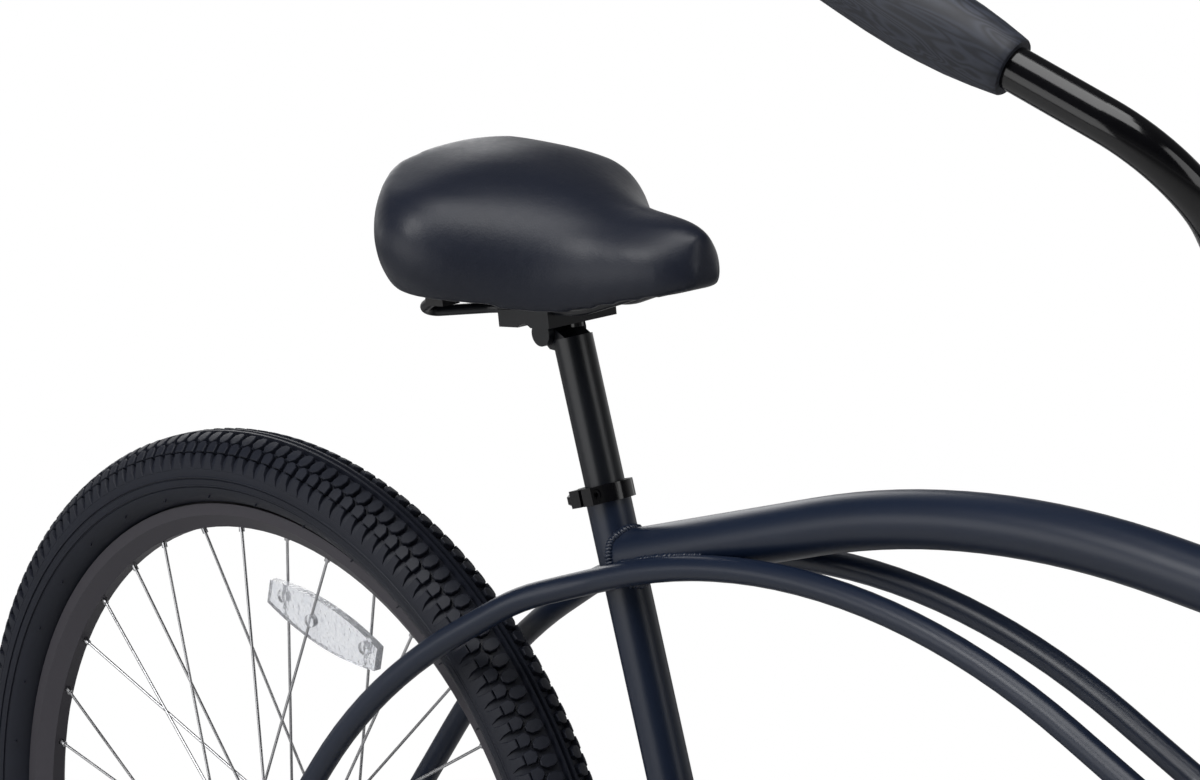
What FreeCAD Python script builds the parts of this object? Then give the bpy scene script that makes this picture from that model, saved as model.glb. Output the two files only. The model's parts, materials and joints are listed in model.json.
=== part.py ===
"""Beach cruiser bicycle, built as separate named pieces in millimetres.

The origin is on the ground, midway between the two axles. +X points forward, +Y to the rider's left, +Z up.
Side-view points are written from the rear axle and carried into that frame by from_axle().
"""
import FreeCAD
import Part
import math
import os

V = FreeCAD.Vector
UP = V(0, 0, 1)
LEFT = V(0, 1, 0)
FORWARD = V(1, 0, 0)

# Driving dimensions: wheels
WHEELBASE = 1130.0
RIM_OUTER_R = 285.0
RIM_DEPTH = 18.0
RIM_BED_R = RIM_OUTER_R - RIM_DEPTH
TYRE_HEIGHT = 50.0
TYRE_OUTER_R = RIM_OUTER_R + TYRE_HEIGHT
TYRE_HALF_WIDTH = 27.0
TYRE_WALL = 3.2
RIM_HALF_WIDTH = 13.5
RIM_WALL = 1.9
RIM_BED_HALF_WIDTH = 5.0
RIM_SIDE_HEIGHT = 8.0
RIM_BED_THICKNESS = 7.0
TUBE_WALL = 1.2
SPOKE_COUNT = 36
SPOKE_R = 1.0
SPOKE_CROSSES = 3
SPOKE_PHASE = -1.0
NIPPLE_R = 2.0
NIPPLE_LENGTH = 13.0
VALVE_R = 4.0
VALVE_LENGTH = 38.0
FIT_GAP = 0.3
RUN_GAP = 0.05

# Driving dimensions: frame
SEAT_TUBE_OD = 28.6
SEAT_TUBE_LEAN = 18.15
SEAT_TUBE_TOP = 366.0
SEAT_POST_OD = 25.4
TOP_TUBE_OD = 34.9
DOWN_TUBE_OD = 34.9
TWIN_TUBE_OD = 15.9
CHAINSTAY_OD = 19.0
TUBE_THICKNESS = 1.6
BB_DROP = 55.0
BB_SHELL_OD = 58.0
BB_SHELL_ID = 51.3
BB_SHELL_WIDTH = 68.0
HEAD_ANGLE = 68.0
HEAD_TUBE_OD = 36.0
HEAD_TUBE_ID = 30.2
HEAD_TUBE_LENGTH = 135.0
CROWN_CLEARANCE = 54.0
FORK_LENGTH = TYRE_OUTER_R + CROWN_CLEARANCE
FORK_RAKE = 55.0
FORK_BLADE_OD = 22.0
STEERER_OD = 25.4
STEERER_WALL = 1.5
REAR_SPACING = 110.0
FRONT_SPACING = 100.0
DROPOUT_THICKNESS = 6.0
AXLE_R = 4.75

# Driving dimensions: drive train
CHAIN_PITCH = 12.7
CHAIN_ROLLER_R = 4.2
RING_TEETH = 44
SPROCKET_TEETH = 18
CHAINLINE = 46.0
RUN_LINKS = 36
TOOTH_THICKNESS = 2.9
CRANK_LENGTH = 165.0
CRANK_SPINDLE_R = 11.5
PEDAL_WIDTH = 92.0
PEDAL_LENGTH = 96.0
PEDAL_THICKNESS = 26.0

# Driving dimensions: cockpit and saddle
BAR_OD = 22.2
GRIP_R = 16.5
GRIP_LENGTH = 136.0
QUILL_OD = 22.2
STEM_REACH = 50.0
SADDLE_TILT = 8.0
RAIL_R = 3.5
RAIL_SPREAD = 22.0
POST_LENGTH = 330.0
POST_EXPOSED = 95.0


def from_axle(x, y, z):
    """A point given forward of and above the rear axle, in the part's frame."""
    return V(x - WHEELBASE / 2, y, z + TYRE_OUTER_R)


def steer_point(along, forward, y):
    """A point along the steering axis, measured up from the foot of the fork's rake."""
    slope = math.radians(HEAD_ANGLE)
    axis = V(-math.cos(slope), 0, math.sin(slope))
    ahead = V(math.sin(slope), 0, math.cos(slope))
    front_axle = from_axle(WHEELBASE, 0, 0)
    return front_axle + axis * along + ahead * (forward - FORK_RAKE) + LEFT * y


REAR_AXLE = from_axle(0, 0, 0)
FRONT_AXLE = from_axle(WHEELBASE, 0, 0)
STEER_AXIS = (steer_point(1, 0, 0) - steer_point(0, 0, 0)).normalize()
HEAD_BOTTOM = FORK_LENGTH
HEAD_TOP = FORK_LENGTH + HEAD_TUBE_LENGTH
SEAT_AXIS = V(-math.sin(math.radians(SEAT_TUBE_LEAN)), 0, math.cos(math.radians(SEAT_TUBE_LEAN)))


def cylinder(start, axis, radius, length):
    """A solid round bar from a point along an axis."""
    return Part.makeCylinder(radius, length, start, axis)


def ring(start, axis, outer, inner, length):
    """A round bar with a bore right through it."""
    return cylinder(start, axis, outer, length).cut(cylinder(start, axis, inner, length))


def prism(points, thickness_vector):
    """A flat polygon given a thickness."""
    return Part.Face(Part.makePolygon(points + [points[0]])).extrude(thickness_vector)


def bent_edges(points, radii):
    """Straight runs joined by tangent arcs, one radius for each inner point."""
    edges = []
    start = points[0]
    for before, corner, after, radius in zip(points, points[1:], points[2:], radii):
        inward = (before - corner).normalize()
        outward = (after - corner).normalize()
        half_turn = (math.pi - inward.getAngle(outward)) / 2
        reach = radius * math.tan(half_turn)
        bisector = (inward + outward).normalize()
        first = corner + inward * reach
        last = corner + outward * reach
        middle = corner + bisector * (radius / math.cos(half_turn) - radius)
        edges.append(Part.LineSegment(start, first).toShape())
        edges.append(Part.Arc(first, middle, last).toShape())
        start = last
    edges.append(Part.LineSegment(start, points[-1]).toShape())
    return edges


def rod(points, radii, radius):
    """A round bar swept along a bent path."""
    path = Part.Wire(bent_edges(points, radii))
    section = Part.Wire(Part.makeCircle(radius, points[0], points[1] - points[0]))
    return path.makePipeShell([section], True, False)


def pipe(points, radii, outer_diameter, wall):
    """A round tube swept along a bent path."""
    return rod(points, radii, outer_diameter / 2).cut(rod(points, radii, outer_diameter / 2 - wall))


def place(shape, origin, axis):
    """A shape built about the Z axis, moved to an origin with its Z along an axis."""
    moved = shape.copy()
    moved.Placement = FreeCAD.Placement(origin, FreeCAD.Rotation(UP, axis))
    return moved


def traced(start, steps):
    """A closed wire of (radius, along) points: a step of one point is a line, of two an arc."""
    points = [V(start[0], 0, start[1])]
    edges = []
    for step in steps:
        ends = [V(p[0], 0, p[1]) for p in step]
        if len(ends) == 1:
            edges.append(Part.LineSegment(points[-1], ends[0]).toShape())
        else:
            edges.append(Part.Arc(points[-1], ends[0], ends[1]).toShape())
        points.append(ends[-1])
    edges.append(Part.LineSegment(points[-1], points[0]).toShape())
    return Part.Wire(edges)


def turned(start, steps, origin, axis):
    """A closed profile turned about an axis through an origin."""
    solid = Part.Face(traced(start, steps)).revolve(V(0, 0, 0), UP, 360)
    return place(solid, origin, axis)


def turned_polygon(points, origin, axis):
    return turned(points[0], [[p] for p in points[1:]], origin, axis)


def hexagon(start, axis, across_flats, length):
    """A hexagonal bar from a point along an axis."""
    corner = across_flats / math.sqrt(3)
    points = [V(corner * math.cos(k * math.pi / 3), corner * math.sin(k * math.pi / 3), 0) for k in range(6)]
    return place(prism(points, UP * length), start, axis)


def block(centre, size_x, size_y, size_z):
    """A square block about a centre."""
    corner = centre - V(size_x / 2, size_y / 2, size_z / 2)
    return Part.makeBox(size_x, size_y, size_z, corner)


def obround(centre_a, radius_a, centre_b, radius_b, thickness):
    """A flat arm with two round ends, lying across the Y axis and growing towards +Y."""
    along = centre_b - centre_a
    span = along.Length
    direction = V(along).normalize()
    square = LEFT.cross(direction)
    lean = math.acos((radius_a - radius_b) / span)
    up_a = direction * math.cos(lean) + square * math.sin(lean)
    down_a = direction * math.cos(lean) - square * math.sin(lean)
    corners = [centre_a + up_a * radius_a, centre_b + up_a * radius_b]
    corners += [centre_b + down_a * radius_b, centre_a + down_a * radius_a]
    edges = [
        Part.LineSegment(corners[0], corners[1]).toShape(),
        Part.Arc(corners[1], centre_b + direction * radius_b, corners[2]).toShape(),
        Part.LineSegment(corners[2], corners[3]).toShape(),
        Part.Arc(corners[3], centre_a - direction * radius_a, corners[0]).toShape(),
    ]
    return Part.Face(Part.Wire(edges)).extrude(LEFT * thickness)


def group(shapes):
    return Part.makeCompound(shapes)


# Drive train geometry


def pitch_radius(teeth):
    return CHAIN_PITCH / (2 * math.sin(math.pi / teeth))


RING_R = pitch_radius(RING_TEETH)
SPROCKET_R = pitch_radius(SPROCKET_TEETH)


def wrapped_half_angle(teeth, tangent_angle):
    """Half the angle that the chain wraps, in whole teeth set evenly about the centre line."""
    step = 2 * math.pi / teeth
    return (round(tangent_angle / step - 0.5) + 0.5) * step


def run_span(centre_distance):
    """The straight chain run and its end angles for a distance between crank and rear axle."""
    lean = math.asin((RING_R - SPROCKET_R) / centre_distance)
    ring_half = wrapped_half_angle(RING_TEETH, math.pi / 2 + lean)
    sprocket_half = wrapped_half_angle(SPROCKET_TEETH, math.pi / 2 - lean)
    dx = centre_distance + RING_R * math.cos(ring_half) + SPROCKET_R * math.cos(sprocket_half)
    dz = RING_R * math.sin(ring_half) - SPROCKET_R * math.sin(sprocket_half)
    return math.hypot(dx, dz), ring_half, sprocket_half


def chain_centre_distance():
    """The distance at which each straight run is a whole number of links."""
    low, high = CHAIN_PITCH * (RUN_LINKS - 2), CHAIN_PITCH * (RUN_LINKS + 3)
    for _ in range(60):
        middle = (low + high) / 2
        if run_span(middle)[0] < CHAIN_PITCH * RUN_LINKS:
            low = middle
        else:
            high = middle
    return (low + high) / 2


CENTRE_DISTANCE = chain_centre_distance()
BB_X = math.sqrt(CENTRE_DISTANCE**2 - BB_DROP**2)
BB = from_axle(BB_X, 0, -BB_DROP)
DRIVE_LINE = (REAR_AXLE - BB).normalize()
DRIVE_UP = V(-DRIVE_LINE.z, 0, DRIVE_LINE.x)
DRIVE_UP = DRIVE_UP if DRIVE_UP.z > 0 else DRIVE_UP * -1


def seat_point(height, y=0.0):
    """A point on the seat tube's axis at a height above the rear axle."""
    rise = height + BB_DROP
    return BB + SEAT_AXIS * (rise / SEAT_AXIS.z) + LEFT * y


# Frame tubes. Side-view points of the bent tubes, from the rear axle.
TOP_TUBE_START_HEIGHT = 321.6
TOP_TUBE_SETBACK = 8.0
TOP_TUBE_BEND = (630.6, 420.6)
TOP_TUBE_BEND_R = 669.0
TOP_TUBE_HEAD_ALONG = 452.0
DOWN_TUBE_HEAD_ALONG = 416.0
TWIN_OFFSET = SEAT_TUBE_OD / 2 + TWIN_TUBE_OD / 2
TWIN_AT_DROPOUT = (24.0, 22.0, 62.0)
TWIN_OVER_WHEEL = (161.3, 213.5, 57.0)
TWIN_KINK = (278.6, 290.8, 36.0)
TWIN_BEHIND_SEAT = (325.0, 308.4)
TWIN_CREST = (536.4, 388.8)
TWIN_TOE_IN = (786.0, 276.6)
TWIN_END_SHARE = 0.782
TWIN_END_OFFSET = 9.4
TWIN_BEND_RADII = [450.0, 150.0, 110.0, 480.0, 60.0]
STAY_AT_BB = (24.0, 24.0)
STAY_BEHIND_RING = (338.0, 38.6)
STAY_AT_DROPOUT = (30.0, -4.0, 60.0)
STAY_BEND_R = 260.0


def frame_axes():
    """The start and end of each straight frame tube's centre line."""
    head_bottom = steer_point(HEAD_BOTTOM, 0, 0)
    down_start = steer_point(DOWN_TUBE_HEAD_ALONG, 0, 0)
    return head_bottom, down_start


def solid_tubes():
    """Solid bars of the frame tubes, used to mitre their neighbours."""
    head_bottom, down_start = frame_axes()
    seat_length = (SEAT_TUBE_TOP + BB_DROP) / SEAT_AXIS.z
    down_axis = BB - down_start
    top_points = [
        seat_point(TOP_TUBE_START_HEIGHT),
        from_axle(TOP_TUBE_BEND[0], 0, TOP_TUBE_BEND[1]),
        steer_point(TOP_TUBE_HEAD_ALONG, 0, 0),
    ]
    return {
        "head": cylinder(head_bottom, STEER_AXIS, HEAD_TUBE_OD / 2, HEAD_TUBE_LENGTH),
        "shell": cylinder(BB - LEFT * BB_SHELL_WIDTH / 2, LEFT, BB_SHELL_OD / 2, BB_SHELL_WIDTH),
        "seat": cylinder(BB, SEAT_AXIS, SEAT_TUBE_OD / 2, seat_length),
        "top": rod(top_points, [TOP_TUBE_BEND_R], TOP_TUBE_OD / 2),
        "top_bore": rod(top_points, [TOP_TUBE_BEND_R], TOP_TUBE_OD / 2 - TUBE_THICKNESS),
        "down": cylinder(down_start, down_axis, DOWN_TUBE_OD / 2, down_axis.Length),
        "down_bore": cylinder(down_start, down_axis, DOWN_TUBE_OD / 2 - TUBE_THICKNESS, down_axis.Length),
    }


def twin_points(side):
    """The bent twin tube, from the rear dropout over the wheel and past the seat tube to the down tube."""
    _, down_start = frame_axes()
    end = BB + (down_start - BB) * TWIN_END_SHARE + LEFT * side * TWIN_END_OFFSET
    points = [from_axle(x, side * y, z) for x, z, y in (TWIN_AT_DROPOUT, TWIN_OVER_WHEEL, TWIN_KINK)]
    points += [from_axle(x, side * TWIN_OFFSET, z) for x, z in (TWIN_BEHIND_SEAT, TWIN_CREST, TWIN_TOE_IN)]
    return points + [end]


def dropout_plate(side):
    """A flat rear dropout with an open slot for the axle, joined to the chainstay's end."""
    inner = REAR_SPACING / 2
    start = inner if side > 0 else -inner - DROPOUT_THICKNESS
    at = REAR_AXLE + LEFT * start
    to_stay = V(STAY_AT_DROPOUT[0] + 14, 0, STAY_AT_DROPOUT[1])
    to_twin = V(TWIN_AT_DROPOUT[0] + 6, 0, TWIN_AT_DROPOUT[1] + 9)
    plate = obround(at, 19.0, at + to_stay, 11.0, DROPOUT_THICKNESS)
    plate = plate.fuse(obround(at, 17.0, at + to_twin, 9.0, DROPOUT_THICKNESS)).removeSplitter()
    slot_r = AXLE_R + 0.25
    slot = obround(at, slot_r, at + V(-40, 0, 0), slot_r - 0.001, DROPOUT_THICKNESS)
    return plate.cut(slot)


def chainstay(side, bars):
    """One chainstay with its dropout plate."""
    points = stay_points(side)
    tube = pipe(points, [STAY_BEND_R], CHAINSTAY_OD, TUBE_THICKNESS)
    return tube.cut(bars["shell"]).fuse(dropout_plate(side)).removeSplitter()


def frame_nodes():
    bars = solid_tubes()
    seat_length = (SEAT_TUBE_TOP + BB_DROP) / SEAT_AXIS.z
    seat_bore = cylinder(BB, SEAT_AXIS, SEAT_POST_OD / 2 + RUN_GAP, seat_length)
    trimmed = block(V(TOP_TUBE_SETBACK - 20, 0, 0), 40, 60, 90)
    ears = place(trimmed, seat_point(TOP_TUBE_START_HEIGHT), SEAT_AXIS)
    top_tube = bars["top"].cut(bars["top_bore"]).cut(bars["seat"]).cut(bars["head"]).cut(ears)
    down_tube = bars["down"].cut(bars["down_bore"]).cut(bars["shell"]).cut(bars["head"]).cut(bars["top"])
    nodes = {
        "head_tube": ring(steer_point(HEAD_BOTTOM, 0, 0), STEER_AXIS, HEAD_TUBE_OD / 2, HEAD_TUBE_ID / 2,
                          HEAD_TUBE_LENGTH),
        "bottom_bracket_shell": ring(BB - LEFT * BB_SHELL_WIDTH / 2, LEFT, BB_SHELL_OD / 2, BB_SHELL_ID / 2,
                                     BB_SHELL_WIDTH),
        "seat_tube": bars["seat"].fuse(seat_lug()).cut(seat_bore).cut(bars["shell"]).removeSplitter(),
        "top_tube": top_tube,
        "down_tube": down_tube.cut(bars["seat"]),
    }
    for side, name in ((1, "left"), (-1, "right")):
        stay = chainstay(side, bars)
        if side < 0:
            stay = stay.fuse(stay_lug().cut(solid_stay(side))).removeSplitter()
        twin = pipe(twin_points(side), TWIN_BEND_RADII, TWIN_TUBE_OD, TUBE_THICKNESS)
        for bar in ("seat", "top", "down"):
            twin = twin.cut(bars[bar])
        nodes["chainstay_" + name] = stay
        nodes["twin_tube_" + name] = twin.cut(dropout_plate(side))
    return nodes


# Wheels


def tyre_inner_steps(gap):
    """The inside of the tyre from the left bead round the crown to the right bead, drawn in by a gap."""
    bead = RIM_HALF_WIDTH - RIM_WALL - FIT_GAP - 3.0 - gap
    middle_r = (RIM_OUTER_R + TYRE_OUTER_R) / 2 - 1
    low_r = RIM_OUTER_R + 1
    half = TYRE_HALF_WIDTH - TYRE_WALL - gap
    shoulder_r = TYRE_OUTER_R - 9 - gap
    shoulder = 12.5 - gap / 2
    low_mid = (low_r + 0.36 * (middle_r - low_r), bead + 0.72 * (half - bead))
    high_mid = (middle_r + 0.6 * (shoulder_r - middle_r), half - 0.34 * (half - shoulder))
    left = [[(low_r, bead)], [low_mid, (middle_r, half)], [high_mid, (shoulder_r, shoulder)]]
    crown = [[(TYRE_OUTER_R - 6.2 - gap, 0), (shoulder_r, -shoulder)]]
    right = [[(high_mid[0], -high_mid[1]), (middle_r, -half)], [(low_mid[0], -low_mid[1]), (low_r, -bead)]]
    return bead, left + crown + right


def tyre(centre):
    bead_r = RIM_OUTER_R - 5.5
    bead = RIM_HALF_WIDTH - RIM_WALL - FIT_GAP
    low_r = RIM_OUTER_R + 1
    middle_r = (RIM_OUTER_R + TYRE_OUTER_R) / 2 - 1
    half = TYRE_HALF_WIDTH
    shoulder_r = TYRE_OUTER_R - 5
    shoulder = 17.0
    low_mid = (low_r + 0.32 * (middle_r - low_r), bead + 0.72 * (half - bead))
    high_mid = (middle_r + 0.62 * (shoulder_r - middle_r), half - 0.26 * (half - shoulder))
    inner_bead, inner = tyre_inner_steps(0)
    outer_back = [
        [(low_r, -bead)],
        [(low_mid[0], -low_mid[1]), (middle_r, -half)],
        [(high_mid[0], -high_mid[1]), (shoulder_r, -shoulder)],
        [(TYRE_OUTER_R, 0), (shoulder_r, shoulder)],
        [high_mid, (middle_r, half)],
        [low_mid, (low_r, bead)],
        [(bead_r, bead)],
    ]
    steps = inner + [[(bead_r, -inner_bead)], [(bead_r, -bead)]] + outer_back
    return turned((bead_r, inner_bead), steps, centre, LEFT)


def inner_tube(centre, valve_axis):
    """An inflated tube that fills the tyre, with its valve stem."""
    floor_r = RIM_BED_R + RIM_BED_THICKNESS + 3.6
    outer_foot, outer = tyre_inner_steps(FIT_GAP)
    inner_foot, inner = tyre_inner_steps(FIT_GAP + TUBE_WALL)
    skin = turned((floor_r, outer_foot), outer + [[(floor_r, -outer_foot)]], centre, LEFT)
    air_steps = inner + [[(floor_r + TUBE_WALL, -inner_foot)]]
    air = turned((floor_r + TUBE_WALL, inner_foot), air_steps, centre, LEFT)
    stem = cylinder(centre + valve_axis * floor_r, valve_axis * -1, VALVE_R, VALVE_LENGTH)
    cap = cylinder(centre + valve_axis * (floor_r - VALVE_LENGTH), valve_axis * -1, VALVE_R + 0.8, 9.0)
    return group([skin.cut(air), stem.fuse(cap)])


def wheel_direction(angle):
    """A direction in the wheel's plane, measured from forward up and over."""
    return V(math.cos(math.radians(angle)), 0, math.sin(math.radians(angle)))


def spoke_lines(hole_r, flange):
    """For each spoke: hub hole, its outward sign, elbow side and rim point, from the wheel's centre."""
    lines = []
    per_flange = SPOKE_COUNT // 2
    step = 360.0 / per_flange
    for side in (1, -1):
        for index in range(per_flange):
            hub_angle = SPOKE_PHASE + index * step + (step / 2 if side > 0 else 0)
            elbow = 1 if index % 2 == 0 else -1
            rim_angle = hub_angle + elbow * SPOKE_CROSSES * step
            hole = wheel_direction(hub_angle) * hole_r + LEFT * side * flange
            seat = wheel_direction(rim_angle) * RIM_BED_R + LEFT * side * 1.2
            lines.append((hole, side * elbow, seat))
    return lines


FLANGE_THICKNESS = 3.0
FLANGE_TAPER = 1.2
SPOKE_ELBOW = FLANGE_THICKNESS / 2 + SPOKE_R + 0.6
SPOKE_HEAD_R = 2.0
SPOKE_HEAD_THICKNESS = 1.0


def spokes_and_nipples(centre, hole_r, flange):
    solids = []
    for hole, outward, seat in spoke_lines(hole_r, flange):
        elbow = hole + LEFT * outward * SPOKE_ELBOW
        head_start = hole - LEFT * outward * (FLANGE_THICKNESS / 2 + SPOKE_HEAD_THICKNESS)
        run = V(seat - elbow).normalize()
        wire = rod([head_start, elbow, seat + run * 4], [2.0], SPOKE_R)
        head = cylinder(head_start, LEFT * outward, SPOKE_HEAD_R, SPOKE_HEAD_THICKNESS)
        foot = seat - run * (NIPPLE_LENGTH - RIM_BED_THICKNESS - 2)
        body = ring(foot, run, NIPPLE_R, SPOKE_R + RUN_GAP, NIPPLE_LENGTH)
        cap = ring(seat + run * (RIM_BED_THICKNESS + 0.9), run, NIPPLE_R + 1.1, SPOKE_R + RUN_GAP, 1.6)
        solids += [wire.fuse(head), body.fuse(cap).removeSplitter()]
    for solid in solids:
        solid.translate(centre)
    return group(solids)


def rim(centre, hole_r, flange, valve_axis):
    """The rim with a hole for each nipple and one for the valve."""
    side_r = RIM_OUTER_R - RIM_SIDE_HEIGHT
    floor_r = RIM_BED_R + RIM_BED_THICKNESS
    inside = RIM_HALF_WIDTH - RIM_WALL
    half = [(RIM_OUTER_R, RIM_HALF_WIDTH), (RIM_OUTER_R, inside), (side_r, inside), (floor_r, inside - 4)]
    other = [(r, -along) for r, along in reversed(half)]
    bottom = [(side_r, -RIM_HALF_WIDTH), (RIM_BED_R, -RIM_BED_HALF_WIDTH)]
    bottom += [(RIM_BED_R, RIM_BED_HALF_WIDTH), (side_r, RIM_HALF_WIDTH)]
    body = turned_polygon(half + other + bottom, centre, LEFT)
    holes = []
    for hole, outward, seat in spoke_lines(hole_r, flange):
        run = V(seat - hole - LEFT * outward * SPOKE_ELBOW).normalize()
        holes.append(cylinder(centre + seat - run * 6, run, NIPPLE_R + 0.3, RIM_BED_THICKNESS + 10))
    holes.append(cylinder(centre + valve_axis * (RIM_BED_R - 5), valve_axis, VALVE_R + 0.2, 20))
    return body.cut(group(holes))


def drilled_hub(profile, centre, hole_r, flange):
    """A hub shell with its spoke holes."""
    body = turned_polygon(profile, centre, LEFT)
    holes = []
    for hole, outward, seat in spoke_lines(hole_r, flange):
        start = centre + hole - LEFT * FLANGE_THICKNESS
        holes.append(cylinder(start, LEFT, SPOKE_R + 0.35, FLANGE_THICKNESS * 2))
    return body.cut(group(holes))


REAR_HOLE_R = 30.0
REAR_FLANGE = 29.0
REAR_BORE_R = 18.5
FRONT_HOLE_R = 19.0
FRONT_FLANGE = 34.0
FRONT_BORE_R = 11.0
REFLECTOR_ANGLE = 78.2
REFLECTOR_RADIUS = 217.0
REFLECTOR_LENGTH = 114.0
REFLECTOR_HEIGHT = 31.0
REFLECTOR_END_HEIGHT = 17.0
REFLECTOR_THICKNESS = 6.0
VALVE_ANGLE = 245.0


def hub_profile(bore, barrel, flange_r, flange, end):
    """Half a hub shell's outline mirrored about its middle."""
    inner = flange - FLANGE_THICKNESS / 2
    outer = flange + FLANGE_THICKNESS / 2
    right = [(bore, -end), (bore + 4, -end), (bore + 4, -outer), (flange_r - 4, -outer)]
    right += [(flange_r, -outer + FLANGE_TAPER), (flange_r, -inner)]
    right += [(barrel + 1, -inner), (barrel, -inner + 6)]
    return right + [(r, -along) for r, along in reversed(right)]


def spoke_reflector(centre, hole_r, flange):
    """A clear reflector between the two sides of the wheel, clipped to the spokes that pass it."""
    out = wheel_direction(REFLECTOR_ANGLE)
    along = LEFT.cross(out)
    low = centre + out * REFLECTOR_RADIUS - LEFT * REFLECTOR_THICKNESS / 2
    back, front = (low + along * (k * REFLECTOR_LENGTH / 2) for k in (-1, 1))
    rise = out * (REFLECTOR_END_HEIGHT / 2)
    bulge = out * (REFLECTOR_HEIGHT / 2)
    edges = [
        Part.Arc(back + rise, low + bulge, front + rise).toShape(),
        Part.LineSegment(front + rise, front - rise).toShape(),
        Part.Arc(front - rise, low - bulge, back - rise).toShape(),
        Part.LineSegment(back - rise, back + rise).toShape(),
    ]
    body = Part.Face(Part.Wire(edges)).extrude(LEFT * REFLECTOR_THICKNESS)
    wires = []
    for hole, outward, seat in spoke_lines(hole_r, flange):
        elbow = hole + LEFT * outward * SPOKE_ELBOW
        spread = math.degrees(out.getAngle(V(seat.x, 0, seat.z)))
        if spread > 12:
            continue
        share = (REFLECTOR_RADIUS - elbow.dot(out)) / (seat - elbow).dot(out)
        crossing = centre + elbow + (seat - elbow) * share
        grip_y = crossing.y + math.copysign(1.2, crossing.y)
        clip = cylinder(V(crossing.x, 0, crossing.z), LEFT * math.copysign(1, crossing.y), 4.5, abs(grip_y))
        body = body.fuse(clip)
        wires.append(cylinder(centre + elbow, seat - elbow, SPOKE_R + RUN_GAP, (seat - elbow).Length))
    for wire in wires:
        body = body.cut(wire)
    return body.removeSplitter()


def wheel_nodes(prefix, centre, hole_r, flange):
    valve_axis = wheel_direction(VALVE_ANGLE)
    return {
        prefix + "_tyre": tyre(centre),
        prefix + "_inner_tube": inner_tube(centre, valve_axis),
        prefix + "_rim": rim(centre, hole_r, flange, valve_axis),
        prefix + "_spokes": spokes_and_nipples(centre, hole_r, flange),
        prefix + "_reflector": spoke_reflector(centre, hole_r, flange),
    }


def axle_nuts(centre, seat, thickness):
    """Flanged nuts on both ends of an axle, from the outer face of the dropouts."""
    nuts = []
    for side in (1, -1):
        start = centre + LEFT * side * seat
        nut = cylinder(start, LEFT * side, 11.5, 2.5).fuse(hexagon(start, LEFT * side, 15.0, thickness))
        nuts.append(nut.cut(cylinder(start, LEFT * side, AXLE_R + RUN_GAP, thickness)).removeSplitter())
    return group(nuts)


def wheels():
    nodes = wheel_nodes("rear", REAR_AXLE, REAR_HOLE_R, REAR_FLANGE)
    nodes.update(wheel_nodes("front", FRONT_AXLE, FRONT_HOLE_R, FRONT_FLANGE))
    rear_profile = hub_profile(REAR_BORE_R, 25.0, REAR_HOLE_R + 4, REAR_FLANGE, 38.0)
    front_profile = hub_profile(FRONT_BORE_R, 14.0, FRONT_HOLE_R + 4, FRONT_FLANGE, 43.0)
    nodes["rear_hub_shell"] = drilled_hub(rear_profile, REAR_AXLE, REAR_HOLE_R, REAR_FLANGE)
    nodes["front_hub_shell"] = drilled_hub(front_profile, FRONT_AXLE, FRONT_HOLE_R, FRONT_FLANGE)
    return nodes


# Rear axle and coaster brake
BRAKE_ARM_Y = 46.0
BRAKE_ARM_THICKNESS = 3.0
BRAKE_ARM_END = (150.0, -56.0)
REAR_NUT = 11.0
FRONT_NUT = 10.0
AXLE_FREE_END = 12.0
AXLE_END_R = 4.5
FORK_TIP_THICKNESS = 5.0


def axle_bar(centre, nut_face):
    """A threaded axle whose turned-down ends stand free of its nuts."""
    bar = cylinder(centre - LEFT * nut_face, LEFT, AXLE_R, nut_face * 2)
    for side in (1, -1):
        bar = bar.fuse(cylinder(centre + LEFT * side * nut_face, LEFT * side, AXLE_END_R, AXLE_FREE_END))
    return bar


def rear_axle_node():
    """The fixed axle with its cones, lock nuts and the brake's expander cone."""
    at = REAR_AXLE
    gap = REAR_BORE_R - FIT_GAP
    half = REAR_SPACING / 2
    bar = axle_bar(at, half + DROPOUT_THICKNESS + REAR_NUT)
    pieces = [
        (33.0, 40.0, gap),
        (40.0, BRAKE_ARM_Y, 10.0),
        (BRAKE_ARM_Y + BRAKE_ARM_THICKNESS, half, 9.0),
        (-half, -half + 4.5, 8.0),
        (-10.0, 20.0, 11.0),
        (-31.0, -26.0, 15.0),
    ]
    solids = [bar]
    for start, end, radius in pieces:
        solids.append(ring(at + LEFT * start, LEFT, radius, AXLE_R, end - start))
    return group(solids)


def brake_shoes():
    """Two half-round shoes between the expander cone and the hub shell."""
    whole = ring(REAR_AXLE - LEFT * 9, LEFT, REAR_BORE_R - FIT_GAP, 11.0 + 0.1, 28.0)
    split = block(REAR_AXLE, 80, 80, 2.0)
    return group(whole.cut(split).Solids)


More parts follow.
